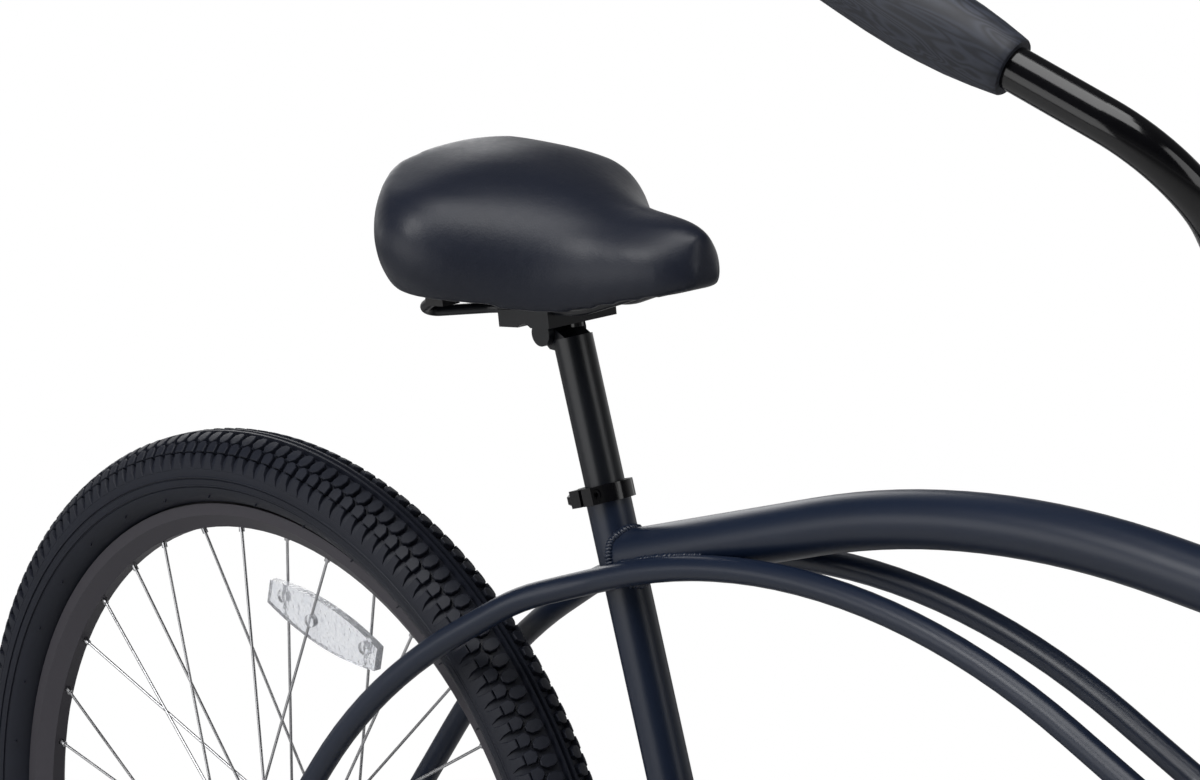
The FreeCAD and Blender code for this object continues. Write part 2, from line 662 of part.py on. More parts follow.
def brake_arm():
    """The coaster brake's reaction arm and the strap that holds it to the left chainstay."""
    at = REAR_AXLE + LEFT * BRAKE_ARM_Y
    end = at + V(BRAKE_ARM_END[0], 0, BRAKE_ARM_END[1])
    arm = obround(at, 15.0, end, 9.0, BRAKE_ARM_THICKNESS)
    arm = arm.cut(cylinder(at, LEFT, AXLE_R + RUN_GAP, BRAKE_ARM_THICKNESS))
    arm = arm.cut(cylinder(end, LEFT, 3.1, BRAKE_ARM_THICKNESS))
    x = BRAKE_ARM_END[0]
    middle = stay_axis_point(1, x)
    hoop = ring(middle - FORWARD * 6, FORWARD, CHAINSTAY_OD / 2 + 1.6, CHAINSTAY_OD / 2, 12)
    hoop = hoop.cut(solid_stay(1))
    foot_y = BRAKE_ARM_Y + BRAKE_ARM_THICKNESS
    tab_top = middle.z - CHAINSTAY_OD / 2 + 1
    tab_bottom = end.z - 8
    tab = Part.makeBox(12, 2.0, tab_top - tab_bottom, V(middle.x - 6, foot_y, tab_bottom))
    strap = hoop.fuse(tab).cut(solid_stay(1)).cut(cylinder(end, LEFT, 3.1, 12)).removeSplitter()
    return group([arm, strap])


def stay_points(side):
    end_height = STAY_AT_DROPOUT[1]
    middle_x, middle_y = STAY_BEHIND_RING
    fall = (-BB_DROP - end_height) / (BB_X - STAY_AT_DROPOUT[0])
    return [
        from_axle(BB_X - STAY_AT_BB[0], side * STAY_AT_BB[1], -BB_DROP - fall * STAY_AT_BB[0]),
        from_axle(middle_x, side * middle_y, end_height + fall * (middle_x - STAY_AT_DROPOUT[0])),
        from_axle(STAY_AT_DROPOUT[0], side * STAY_AT_DROPOUT[2], end_height),
    ]


def solid_stay(side):
    return rod(stay_points(side), [STAY_BEND_R], CHAINSTAY_OD / 2)


def stay_axis_point(side, x):
    """The chainstay's centre at a distance forward of the rear axle, on its straight rear run."""
    _, middle, end = stay_points(side)
    share = (from_axle(x, 0, 0).x - end.x) / (middle.x - end.x)
    return end + (middle - end) * share


# Fork and headset
CROWN_ALONG = FORK_LENGTH - 23.0
CUP_HEIGHT = 8.0
CUP_R = 20.0
CUP_BORE_R = 17.0
RACE_R = 18.0
CUP_INSERT = 10.0
CUP_THROAT_R = 13.4
STEERER_TOP = HEAD_TOP + 27.0
BLADE_OFFSET = TYRE_HALF_WIDTH + FORK_BLADE_OD / 2 + 11.0


def fork_blade(side):
    points = [
        steer_point(CROWN_ALONG, 0, side * 5.0),
        steer_point(CROWN_ALONG, 0, side * BLADE_OFFSET),
        steer_point(125.0, 0, side * (BLADE_OFFSET + 1)),
        steer_point(26.0, FORK_RAKE - 9.0, side * (FRONT_SPACING / 2 + 1.5)),
    ]
    blade = rod(points, [34.0, 130.0], FORK_BLADE_OD / 2)
    blade = blade.cut(cylinder(steer_point(CROWN_ALONG - 66, 0, 0), STEER_AXIS, STEERER_OD / 2, 120))
    inner = FRONT_SPACING / 2
    at = FRONT_AXLE + LEFT * (inner if side > 0 else -inner - FORK_TIP_THICKNESS)
    upper = points[3] - LEFT * points[3].y + LEFT * at.y
    tip = obround(at, 14.0, upper, 10.5, FORK_TIP_THICKNESS)
    slot = obround(at, AXLE_R + 0.25, at - V(0, 0, 30), AXLE_R + 0.249, FORK_TIP_THICKNESS)
    return blade.fuse(tip).cut(slot).removeSplitter()


def headset():
    """Cups fixed in the head tube; races, lock nut and bearing rings that turn with the fork."""
    low = steer_point(HEAD_BOTTOM, 0, 0)
    high = steer_point(HEAD_TOP, 0, 0)
    cup = [(CUP_R, -CUP_HEIGHT), (CUP_R, 0), (HEAD_TUBE_ID / 2, 0), (HEAD_TUBE_ID / 2, CUP_INSERT)]
    cup += [(CUP_THROAT_R, CUP_INSERT), (CUP_THROAT_R, -2.7), (CUP_BORE_R, -2.7), (CUP_BORE_R, -CUP_HEIGHT)]
    lower_cup = turned_polygon(cup, low, STEER_AXIS)
    upper_cup = turned_polygon(cup, high, STEER_AXIS * -1)
    inner = STEERER_OD / 2
    race_start = HEAD_BOTTOM - CUP_HEIGHT - FIT_GAP
    crown_top = CROWN_ALONG + FORK_BLADE_OD / 2
    crown_race = ring(steer_point(crown_top, 0, 0), STEER_AXIS, RACE_R, inner, race_start - crown_top)
    bearing_length = CUP_HEIGHT - 2.7
    lower_ring = ring(steer_point(race_start, 0, 0), STEER_AXIS, CUP_BORE_R - FIT_GAP, inner + FIT_GAP,
                      bearing_length)
    top_start = HEAD_TOP + CUP_HEIGHT + FIT_GAP
    upper_ring = ring(steer_point(top_start, 0, 0), STEER_AXIS * -1, CUP_BORE_R - FIT_GAP, inner + FIT_GAP,
                      bearing_length)
    top_cone = ring(steer_point(top_start, 0, 0), STEER_AXIS, RACE_R, inner, 7.0)
    nut_start = steer_point(top_start + 7.0, 0, 0)
    lock_nut = hexagon(nut_start, STEER_AXIS, 32.0, 9.0).cut(cylinder(nut_start, STEER_AXIS, inner, 9.0))
    races = group([crown_race, top_cone, lock_nut])
    return group([lower_cup, upper_cup]), races, group([lower_ring, upper_ring])


def fork_nodes():
    cups, races, bearings = headset()
    start = CROWN_ALONG - 14.0
    steerer = ring(steer_point(start, 0, 0), STEER_AXIS, STEERER_OD / 2, STEERER_OD / 2 - STEERER_WALL,
                   STEERER_TOP - start)
    half = FRONT_SPACING / 2
    axle = [axle_bar(FRONT_AXLE, half + FORK_TIP_THICKNESS + FRONT_NUT)]
    for side in (1, -1):
        out = LEFT * side
        axle.append(ring(FRONT_AXLE + out * 37.0, out, FRONT_BORE_R - FIT_GAP, AXLE_R, 8.0))
        axle.append(ring(FRONT_AXLE + out * 45.0, out, 8.5, AXLE_R, half - 45.0))
    return {
        "headset_cups": cups,
        "headset_races": races,
        "headset_bearings": bearings,
        "fork_steerer": steerer,
        "fork_blade_left": fork_blade(1),
        "fork_blade_right": fork_blade(-1),
        "front_axle": group(axle),
        "front_axle_nuts": axle_nuts(FRONT_AXLE, half + FORK_TIP_THICKNESS, FRONT_NUT),
    }


# Stem, handlebar and grips
STEM_ARM_ALONG = STEERER_TOP + 34.0
QUILL_BOTTOM = HEAD_BOTTOM + 51.0
CLAMP_CENTRE = steer_point(STEM_ARM_ALONG, 0, 0) + V(STEM_REACH - 5, 0, 8)
CLAMP_WIDTH = 38.0
BAR_SLEEVE_R = 12.7
BAR_STRAIGHT = 70.0
BAR_BEND = V(45, 229, 161)
BAR_END = V(-163, 279.3, 249.7)
BAR_BEND_R = 62.0


def bar_points():
    right = [CLAMP_CENTRE + V(p.x, -p.y, p.z) for p in (BAR_END, BAR_BEND, V(0, BAR_STRAIGHT, 0))]
    left = [V(p.x, -p.y, p.z) for p in reversed(right)]
    return right + left


def grip(side):
    """A palm-swell grip slid over the end of the bar, with a closed round end."""
    tip = CLAMP_CENTRE + V(BAR_END.x, side * BAR_END.y, BAR_END.z)
    bend = CLAMP_CENTRE + V(BAR_BEND.x, side * BAR_BEND.y, BAR_BEND.z)
    out = V(tip - bend).normalize()
    start = tip - out * (GRIP_LENGTH - 5.0)
    bore = BAR_OD / 2 + 0.02
    end = GRIP_LENGTH
    outer = [
        [(15.6, 0)],
        [(17.4, 5.0), (18.8, 16.0)],
        [(GRIP_R + 3.6, 52.0), (GRIP_R + 2.0, 92.0)],
        [(GRIP_R + 0.6, 112.0), (GRIP_R, end - 8.0)],
        [(GRIP_R - 2.0, end - 2.0), (GRIP_R - 7.0, end)],
        [(0, end)],
        [(0, end - 5.0)],
        [(bore, end - 5.0)],
    ]
    return turned((bore, 0), outer, start, out)


def stem_nodes():
    top = steer_point(STEM_ARM_ALONG + 9.0, 0, 0)
    quill_start = steer_point(QUILL_BOTTOM, 0, 0)
    quill = cylinder(quill_start, STEER_AXIS, QUILL_OD / 2, (top - quill_start).Length)
    arm_start = steer_point(STEM_ARM_ALONG, 0, 0)
    arm_axis = CLAMP_CENTRE - arm_start
    arm = cylinder(arm_start, arm_axis, 11.0, arm_axis.Length)
    clamp_start = CLAMP_CENTRE - LEFT * CLAMP_WIDTH / 2
    clamp = cylinder(clamp_start, LEFT, BAR_SLEEVE_R + 4.5, CLAMP_WIDTH)
    ear_centre = CLAMP_CENTRE - V(0, 0, BAR_SLEEVE_R + 9)
    ears = block(ear_centre, 24, 22, 18)
    body = quill.fuse(arm).fuse(clamp).fuse(ears)
    bolt_r = 3.0
    body = body.cut(cylinder(clamp_start, LEFT, BAR_SLEEVE_R + 0.02, CLAMP_WIDTH))
    body = body.cut(block(ear_centre, 2.4, CLAMP_WIDTH, 26))
    bolt_at = ear_centre - V(0, 0, 1.5)
    body = body.cut(cylinder(bolt_at - FORWARD * 20, FORWARD, bolt_r + 0.1, 40))
    body = body.cut(cylinder(quill_start, STEER_AXIS, 4.3, (top - quill_start).Length))
    body = body.cut(cylinder(top, STEER_AXIS, 8.2, 20.0))
    clamp_bolt = cylinder(bolt_at - FORWARD * 12, FORWARD, bolt_r, 24)
    clamp_bolt = clamp_bolt.fuse(hexagon(bolt_at + FORWARD * 12, FORWARD, 10.0, 5.0))
    clamp_bolt = clamp_bolt.fuse(hexagon(bolt_at - FORWARD * 12, FORWARD * -1, 10.0, 4.5)).removeSplitter()
    wedge_length = 28.0
    wedge = ring(quill_start, STEER_AXIS * -1, QUILL_OD / 2 - 0.2, 4.0, wedge_length)
    long_bolt = cylinder(quill_start - STEER_AXIS * wedge_length, STEER_AXIS, 4.0,
                         (top - quill_start).Length + wedge_length)
    long_bolt = long_bolt.fuse(hexagon(top, STEER_AXIS, 13.0, 6.5)).removeSplitter()
    points = bar_points()
    bar = rod(points, [BAR_BEND_R] * 4, BAR_OD / 2)
    sleeve = cylinder(CLAMP_CENTRE - LEFT * 26, LEFT, BAR_SLEEVE_R, 52)
    bore = rod(points, [BAR_BEND_R] * 4, BAR_OD / 2 - 2.0)
    return {
        "stem": body.removeSplitter(),
        "stem_bolts": group([clamp_bolt, wedge, long_bolt]),
        "handlebar": bar.fuse(sleeve).cut(bore).removeSplitter(),
        "grip_left": grip(1),
        "grip_right": grip(-1),
    }


# Seat post and saddle
KNUCKLE_R = 8.0
KNUCKLE_WIDTH = 32.0
KNUCKLE_SETBACK = 12.3
KNUCKLE_RISE = 2.0
RAIL_HEIGHT = 17.0
BASE_TOP = 37.0
BASE_THICKNESS = 4.0
CRADLE_LENGTH = 46.0
CRADLE_DEPTH = 11.0
CRADLE_BOLT_X = 16.5
COLLAR_HEIGHT = 11.0
COLLAR_WALL = 3.2
COLLAR_LUG_LENGTH = 20.0
COLLAR_HEAD = 4.0
POST_TOP = seat_point(SEAT_TUBE_TOP) + SEAT_AXIS * POST_EXPOSED
KNUCKLE = POST_TOP + V(-KNUCKLE_SETBACK, 0, KNUCKLE_RISE)


def saddle_local(shape):
    """A saddle piece drawn level about the tilt axis, tipped nose up and set on the post's head."""
    moved = shape.copy()
    moved.rotate(V(0, 0, 0), LEFT, -SADDLE_TILT)
    moved.translate(KNUCKLE)
    return moved


def seat_clamp():
    """The collar round the top of the seat tube, split at the right, and its socket-head bolt."""
    start = seat_point(SEAT_TUBE_TOP) - SEAT_AXIS * (COLLAR_HEIGHT - 1.2)
    outer = SEAT_TUBE_OD / 2 + COLLAR_WALL
    ahead = LEFT.cross(SEAT_AXIS)
    half = COLLAR_LUG_LENGTH / 2
    lug_at = start + SEAT_AXIS * (COLLAR_HEIGHT / 2) - LEFT * outer + ahead * 1.5
    lug = place(block(V(0, 0, 0), COLLAR_LUG_LENGTH, 12, COLLAR_HEIGHT), lug_at, SEAT_AXIS)
    body = cylinder(start, SEAT_AXIS, outer, COLLAR_HEIGHT).fuse(lug)
    body = body.cut(cylinder(start, SEAT_AXIS, SEAT_TUBE_OD / 2, COLLAR_HEIGHT))
    slit = place(block(V(0, 0, 0), 2.6, 30, COLLAR_HEIGHT + 8), lug_at, SEAT_AXIS)
    bolt_at = lug_at - LEFT * 1.8
    head_at = bolt_at + ahead * (half - COLLAR_HEAD)
    body = body.cut(slit).cut(cylinder(bolt_at - ahead * 30, ahead, 2.6, 60))
    body = body.cut(cylinder(head_at, ahead, 4.1, COLLAR_HEAD + 1)).removeSplitter()
    bolt = cylinder(bolt_at - ahead * half, ahead, 2.5, COLLAR_LUG_LENGTH - COLLAR_HEAD + 0.5)
    bolt = bolt.fuse(cylinder(head_at, ahead, 3.9, COLLAR_HEAD - 0.6))
    bolt = bolt.fuse(hexagon(bolt_at - ahead * (half + 3), ahead, 8.0, 3.0)).removeSplitter()
    return body, bolt.cut(hexagon(head_at + ahead * 1.5, ahead, 4.0, COLLAR_HEAD))


def seat_post():
    start = POST_TOP - SEAT_AXIS * POST_LENGTH
    post = ring(start, SEAT_AXIS, SEAT_POST_OD / 2, SEAT_POST_OD / 2 - 2.0, POST_LENGTH)
    plug = cylinder(POST_TOP - SEAT_AXIS * 16, SEAT_AXIS, SEAT_POST_OD / 2, 16)
    knuckle = cylinder(KNUCKLE - LEFT * KNUCKLE_WIDTH / 2, LEFT, KNUCKLE_R, KNUCKLE_WIDTH)
    neck_width = 22.0
    corners = [(6, -8), (6, 1), (-KNUCKLE_SETBACK, KNUCKLE_RISE + KNUCKLE_R - 1)]
    corners += [(-KNUCKLE_SETBACK - 6, KNUCKLE_RISE - 3), (-9, -8)]
    neck = prism([POST_TOP + V(x, -neck_width / 2, z) for x, z in corners], LEFT * neck_width)
    return post.fuse(plug).fuse(knuckle).fuse(neck).removeSplitter()


def rail_points(side):
    """A saddle rail from its rear socket through the cradle to the nose socket, about the tilt axis."""
    return [
        V(-38, side * 62, BASE_TOP - 6),
        V(-70, side * 54, RAIL_HEIGHT + 1),
        V(-33, side * RAIL_SPREAD, RAIL_HEIGHT),
        V(46, side * RAIL_SPREAD, RAIL_HEIGHT),
        V(104, side * 9, BASE_TOP - 6),
    ]


RAIL_RADII = [8.0, 16.0, 60.0]


def saddle_section(x, half_width, low, high, crown):
    """One cross-section of the cushion: flat floor, drawn-in sides and a crowned top."""
    foot = half_width * 0.86
    shoulder = half_width * 0.72
    side_z = low + (high - low) * 0.42
    shoulder_z = high - crown
    points = [V(x, -foot, low), V(x, foot, low), V(x, half_width, side_z), V(x, shoulder, shoulder_z)]
    points += [V(x, 0, high), V(x, -shoulder, shoulder_z), V(x, -half_width, side_z)]
    edges = [
        Part.LineSegment(points[0], points[1]).toShape(),
        Part.Arc(points[1], points[2], points[3]).toShape(),
        Part.Arc(points[3], points[4], points[5]).toShape(),
        Part.Arc(points[5], points[6], points[0]).toShape(),
    ]
    return Part.Wire(edges)


# Stations along the saddle: forward of the tilt axis, half width, lower edge, top, crown height
SADDLE_STATIONS = [
    (-80.5, 58.0, 52.2, 103.2, 6.0),
    (-70.7, 83.2, 40.2, 120.9, 9.0),
    (-50.0, 98.0, 35.2, 118.8, 13.0),
    (-21.6, 100.9, 31.2, 114.1, 14.0),
    (9.0, 82.2, 25.2, 104.8, 14.0),
    (39.5, 58.6, 18.4, 92.6, 13.0),
    (72.2, 41.9, 20.5, 80.6, 12.0),
    (107.2, 32.2, 25.4, 73.6, 11.0),
    (129.0, 20.0, 28.4, 67.1, 9.0),
    (137.7, 8.5, 31.2, 62.2, 5.0),
]

# Half the outline of the moulded base inside the cushion's skirt: forward of the tilt axis, half width
BASE_OUTLINE = [(-46, 74), (-21, 76), (9, 61), (39, 41), (72, 27), (107, 18.5), (117, 13)]


def base_prism(inset, low, height):
    """A level slab of the base's outline."""
    half = [V(x, width - inset, low) for x, width in BASE_OUTLINE]
    half[0].x += inset
    half[-1].x -= inset
    return prism(half + [V(p.x, -p.y, p.z) for p in reversed(half)], V(0, 0, height))


def saddle_nodes():
    sections = [saddle_section(*station) for station in SADDLE_STATIONS]
    pad = Part.makeLoft(sections, True, False).cut(base_prism(0, 0, BASE_TOP))
    base = base_prism(0.5, BASE_TOP - BASE_THICKNESS, BASE_THICKNESS)
    rails = [rod(rail_points(side), RAIL_RADII, RAIL_R) for side in (1, -1)]
    for side in (1, -1):
        base = base.fuse(block(V(-36, side * 62, BASE_TOP - 6), 16, 14, 12))
    base = base.fuse(block(V(101, 0, BASE_TOP - 5.5), 16, 30, 11))
    base = base.cut(rails[0]).cut(rails[1]).removeSplitter()
    bars = [cylinder(V(-60, side * RAIL_SPREAD, RAIL_HEIGHT), FORWARD, RAIL_R, 120) for side in (1, -1)]
    width = 2 * RAIL_SPREAD + 14
    lower_z = RAIL_HEIGHT - CRADLE_DEPTH
    lower = Part.makeBox(CRADLE_LENGTH, width, CRADLE_DEPTH, V(-CRADLE_LENGTH / 2, -width / 2, lower_z))
    lower = lower.cut(cylinder(V(0, -width, 0), LEFT, KNUCKLE_R + FIT_GAP, width * 2))
    upper = Part.makeBox(CRADLE_LENGTH, width, 6, V(-CRADLE_LENGTH / 2, -width / 2, RAIL_HEIGHT + 0.5))
    plates = []
    bolts = []
    for plate in (lower, upper):
        for bar in bars:
            plate = plate.cut(bar)
        for x in (-CRADLE_BOLT_X, CRADLE_BOLT_X):
            plate = plate.cut(cylinder(V(x, 0, -10), UP, 3.1, 60))
        plates.append(plate)
    for x in (-CRADLE_BOLT_X, CRADLE_BOLT_X):
        shank = cylinder(V(x, 0, lower_z), UP, 3.0, CRADLE_DEPTH + 6.5)
        low_head = cylinder(V(x, 0, lower_z - 3), UP, 4.6, 3.0)
        high_nut = hexagon(V(x, 0, RAIL_HEIGHT + 6.5), UP, 10.0, 4.5)
        bolts.append(shank.fuse(low_head).fuse(high_nut).removeSplitter())
    return {
        "saddle_pad": saddle_local(pad),
        "saddle_base": saddle_local(base),
        "saddle_rails": saddle_local(group(rails)),
        "saddle_clamp": saddle_local(group(plates)),
        "saddle_clamp_bolts": saddle_local(group(bolts)),
    }


# Crank, sprockets, chain and guard


def drive_point(centre, radius, angle, y):
    """A point about a sprocket's centre, measured from the line between the two centres."""
    ahead = DRIVE_LINE * -1
    return centre + ahead * (radius * math.cos(angle)) + DRIVE_UP * (radius * math.sin(angle)) + LEFT * y


def toothed_plate(centre, teeth, towards_front):
    """A toothed disc at the chain line with its roller seats set evenly about the drive line."""
    radius = pitch_radius(teeth)
    step = 2 * math.pi / teeth
    seat_r = CHAIN_ROLLER_R - 0.3 + FIT_GAP
    y = -CHAINLINE - TOOTH_THICKNESS / 2
    base = 0.0 if towards_front else math.pi
    lean = math.radians(72)
    edges = []
    rim_points = []
    for index in range(teeth):
        angle = base + (index + 0.5) * step
        seat = drive_point(centre, radius, angle, y)
        inward = (drive_point(centre, 0, 0, y) - seat).normalize()
        tangent = (drive_point(centre, radius, angle + 0.001, y) - seat).normalize()
        first = seat + (inward * math.cos(lean) - tangent * math.sin(lean)) * seat_r
        last = seat + (inward * math.cos(lean) + tangent * math.sin(lean)) * seat_r
        tip_angle = angle + step / 2
        half_tip = 0.9 / radius
        tips = [drive_point(centre, radius + 3.3, tip_angle + k * half_tip, y) for k in (-1, 1)]
        rim_points.append((first, seat + inward * seat_r, last, tips))
    for index, (first, middle, last, tips) in enumerate(rim_points):
        following = rim_points[(index + 1) % teeth][0]
        edges.append(Part.Arc(first, middle, last).toShape())
        edges.append(Part.LineSegment(last, tips[0]).toShape())
        edges.append(Part.LineSegment(tips[0], tips[1]).toShape())
        edges.append(Part.LineSegment(tips[1], following).toShape())
    return Part.Face(Part.Wire(edges)).extrude(LEFT * TOOTH_THICKNESS)


CRANK_ARM_Y = 62.0
CRANK_ARM_THICKNESS = 12.0
SPINDLE_HALF = CRANK_ARM_Y + 2
CRANK_EYE_R = 13.0
CRANK_BOSS_R = 17.0
PEDAL_SPINDLE_R = 6.0
PEDAL_START = CRANK_ARM_Y + CRANK_ARM_THICKNESS + 7


def crank():
    """A one-piece crank: right arm forward, left arm back."""
    body = cylinder(BB - LEFT * SPINDLE_HALF, LEFT, CRANK_SPINDLE_R, SPINDLE_HALF * 2)
    for side, direction in ((-1, 1), (1, -1)):
        y = CRANK_ARM_Y if side > 0 else -CRANK_ARM_Y - CRANK_ARM_THICKNESS
        start = BB + LEFT * y
        eye = start + FORWARD * direction * CRANK_LENGTH
        body = body.fuse(obround(start, CRANK_BOSS_R, eye, CRANK_EYE_R, CRANK_ARM_THICKNESS))
        body = body.cut(cylinder(eye - LEFT, LEFT, PEDAL_SPINDLE_R + 1.0, CRANK_ARM_THICKNESS + 2))
    drive_pin = cylinder(BB + FORWARD * 26 - LEFT * (CRANK_ARM_Y + 1), LEFT, 4.0, 19.0)
    return body.fuse(drive_pin).removeSplitter()


def chainring():
    """The front sprocket, with round windows, a crank hole and a hole for the crank's drive pin."""
    plate = toothed_plate(BB, RING_TEETH, True)
    y = -CHAINLINE - TOOTH_THICKNESS
    for index in range(5):
        angle = 2 * math.pi * (index + 0.5) / 5
        window = drive_point(BB, RING_R * 0.6, angle, y)
        plate = plate.cut(cylinder(window, LEFT, 18.0, TOOTH_THICKNESS * 2))
    plate = plate.cut(cylinder(BB + LEFT * y, LEFT, CRANK_SPINDLE_R + RUN_GAP, TOOTH_THICKNESS * 2))
    return plate.cut(cylinder(BB + FORWARD * 26 + LEFT * y, LEFT, 4.0 + RUN_GAP, TOOTH_THICKNESS * 2))


def rear_sprocket():
    """The sprocket on the hub's driver."""
    plate = toothed_plate(REAR_AXLE, SPROCKET_TEETH, False)
    inner = CHAINLINE - TOOTH_THICKNESS / 2
    outer = CHAINLINE + TOOTH_THICKNESS / 2
    driver = cylinder(REAR_AXLE - LEFT * inner, LEFT, REAR_BORE_R - FIT_GAP, inner - 33.0)
    boss = cylinder(REAR_AXLE - LEFT * (outer + 2.5), LEFT, 12.0, 2.5)
    body = plate.fuse(driver).fuse(boss)
    return body.cut(cylinder(REAR_AXLE - LEFT * 60, LEFT, AXLE_R + RUN_GAP, 40)).removeSplitter()


def bottom_bracket():
    """Cups pressed in the shell; cones and bearing rings that turn with the crank."""
    cups = []
    cones = []
    half = BB_SHELL_WIDTH / 2
    bore = BB_SHELL_ID / 2
    profile = [(bore + 3, 0), (bore + 3, 3), (20, 3), (20, -9), (bore, -9), (bore, 0)]
    for side in (1, -1):
        out = LEFT * side
        cups.append(turned_polygon(profile, BB + out * half, out))
        cones.append(ring(BB + out * (half - 8), out, 20 - FIT_GAP, CRANK_SPINDLE_R, 12.0))
    return group(cups), group(cones)


PIN_R = 1.8
PLATE_R = 4.0


def chain_links():
    """One inner and one outer link lying along X from their first pin."""
    gap = TOOTH_THICKNESS / 2 + 0.2
    span = V(CHAIN_PITCH, 0, 0)
    inner = []
    outer = []
    for side in (1, -1):
        low = gap if side > 0 else -gap - 1.0
        inner.append(obround(V(0, low, 0), PLATE_R, V(span.x, low, 0), PLATE_R - 0.001, 1.0))
        low = gap + 1.15 if side > 0 else -gap - 2.15
        outer.append(obround(V(0, low, 0), PLATE_R, V(span.x, low, 0), PLATE_R - 0.001, 1.0))
    roller_r = CHAIN_ROLLER_R - 0.3
    for at in (V(0, 0, 0), span):
        inner.append(cylinder(at - LEFT * gap, LEFT, roller_r, gap * 2))
        outer.append(cylinder(at - LEFT * (gap + 2.6), LEFT, PIN_R, gap * 2 + 5.2))
    inner_link = inner[0].multiFuse(inner[1:])
    outer_link = outer[0].multiFuse(outer[1:])
    for at in (V(0, 0, 0), span):
        inner_link = inner_link.cut(cylinder(at - LEFT * 5, LEFT, PIN_R + 0.1, 10))
    return inner_link.removeSplitter(), outer_link.removeSplitter()


def chain_pins():
    """Every pin of the chain in order: round the ring, along the top, round the sprocket and back."""
    _, ring_half, sprocket_half = run_span(CENTRE_DISTANCE)
    ring_step = 2 * math.pi / RING_TEETH
    sprocket_step = 2 * math.pi / SPROCKET_TEETH
    y = -CHAINLINE
    pins = []
    for index in range(round(2 * ring_half / ring_step) + 1):
        pins.append(drive_point(BB, RING_R, index * ring_step - ring_half, y))
    back = []
    for index in range(round(2 * sprocket_half / sprocket_step) + 1):
        angle = math.pi - sprocket_half + index * sprocket_step
        back.append(drive_point(REAR_AXLE, SPROCKET_R, angle, y))
    top = [pins[-1] + (back[0] - pins[-1]) * (k / RUN_LINKS) for k in range(1, RUN_LINKS)]
    low = [back[-1] + (pins[0] - back[-1]) * (k / RUN_LINKS) for k in range(1, RUN_LINKS)]
    return pins + top + back + low


def drive_chain():
    inner_link, outer_link = chain_links()
    pins = chain_pins()
    links = []
    for index, start in enumerate(pins):
        end = pins[(index + 1) % len(pins)]
        link = (outer_link if index % 2 else inner_link).copy()
        run = end - start
        turn = math.degrees(math.atan2(-run.z, run.x))
        link.Placement = FreeCAD.Placement(start, FreeCAD.Rotation(LEFT, turn))
        links.append(link)
    return group(links)


GUARD_Y = CHAINLINE + 8.0
GUARD_THICKNESS = 1.4
GUARD_OUTER_R = RING_R + 15.0
GUARD_INNER_R = RING_R - 27.0
GUARD_REAR = 112.0
GUARD_LIP = 13.0


def guard_outline(outer_r, inner_r, drop):
    """The guard's side outline: an arc round the ring and a tail along the upper chain run."""
    y = -GUARD_Y - GUARD_THICKNESS
    low, middle, high = math.radians(-12), math.radians(45), math.radians(96)
    tail_x = CENTRE_DISTANCE - GUARD_REAR
    tail_top = SPROCKET_R + 24.0
    outer = [drive_point(BB, outer_r, angle, y) for angle in (low, middle, high)]
    inner = [drive_point(BB, inner_r, angle, y) for angle in (high, middle, low)]
    tail_high = BB + DRIVE_LINE * tail_x + DRIVE_UP * (tail_top - GUARD_OUTER_R + outer_r) + LEFT * y
    tail_low = tail_high - DRIVE_UP * drop
    edges = [
        Part.Arc(*outer).toShape(),
        Part.LineSegment(outer[2], tail_high).toShape(),
        Part.LineSegment(tail_high, tail_low).toShape(),
        Part.LineSegment(tail_low, inner[0]).toShape(),
        Part.Arc(*inner).toShape(),
        Part.LineSegment(inner[2], outer[0]).toShape(),
    ]
    return Part.Face(Part.Wire(edges))


LUG_X = 130.0
LUG_SCREW_HEIGHT = 13.0
SEAT_LUG_HEIGHT = 45.0
SEAT_LUG_THICKNESS = 6.0
SCREW_R = 2.5


def guard_screw_points():
    """The two places where a screw holds the guard's outer face."""
    face = -GUARD_Y - GUARD_THICKNESS
    rear = from_axle(LUG_X, face, LUG_SCREW_HEIGHT)
    front = seat_point(SEAT_LUG_HEIGHT, face)
    return [rear, front]


def screw_hole(at):
    return cylinder(at - LEFT, LEFT, SCREW_R + 0.1, 14.0)


def stay_lug():
    """A small threaded lug brazed on the right chainstay for the guard's rear screw."""
    rear, _ = guard_screw_points()
    foot = from_axle(LUG_X, 0, -14.0)
    height = rear.z - foot.z + 6.0
    lug = Part.makeBox(12, 10, height, V(foot.x - 6, -GUARD_Y, foot.z))
    return lug.cut(screw_hole(rear))


def seat_lug():
    """A flat lug brazed on the seat tube that reaches over the chain to the guard's front screw."""
    _, front = guard_screw_points()
    lug = Part.makeBox(14, GUARD_Y - 4, SEAT_LUG_THICKNESS, V(front.x - 7, -GUARD_Y, front.z - 3))
    return lug.cut(screw_hole(front))


def chain_guard():
    plate = guard_outline(GUARD_OUTER_R, GUARD_INNER_R, 40.0).extrude(LEFT * GUARD_THICKNESS)
    lip = guard_outline(GUARD_OUTER_R, GUARD_OUTER_R - GUARD_THICKNESS, GUARD_THICKNESS)
    guard = plate.fuse(lip.extrude(LEFT * GUARD_LIP)).removeSplitter()
    for at in guard_screw_points():
        guard = guard.cut(screw_hole(at))
    _, front = guard_screw_points()
    notch = Part.makeBox(15, GUARD_LIP, SEAT_LUG_THICKNESS + 1, V(front.x - 7.5, -GUARD_Y, front.z - 3.5))
    return guard.cut(notch).removeSplitter()


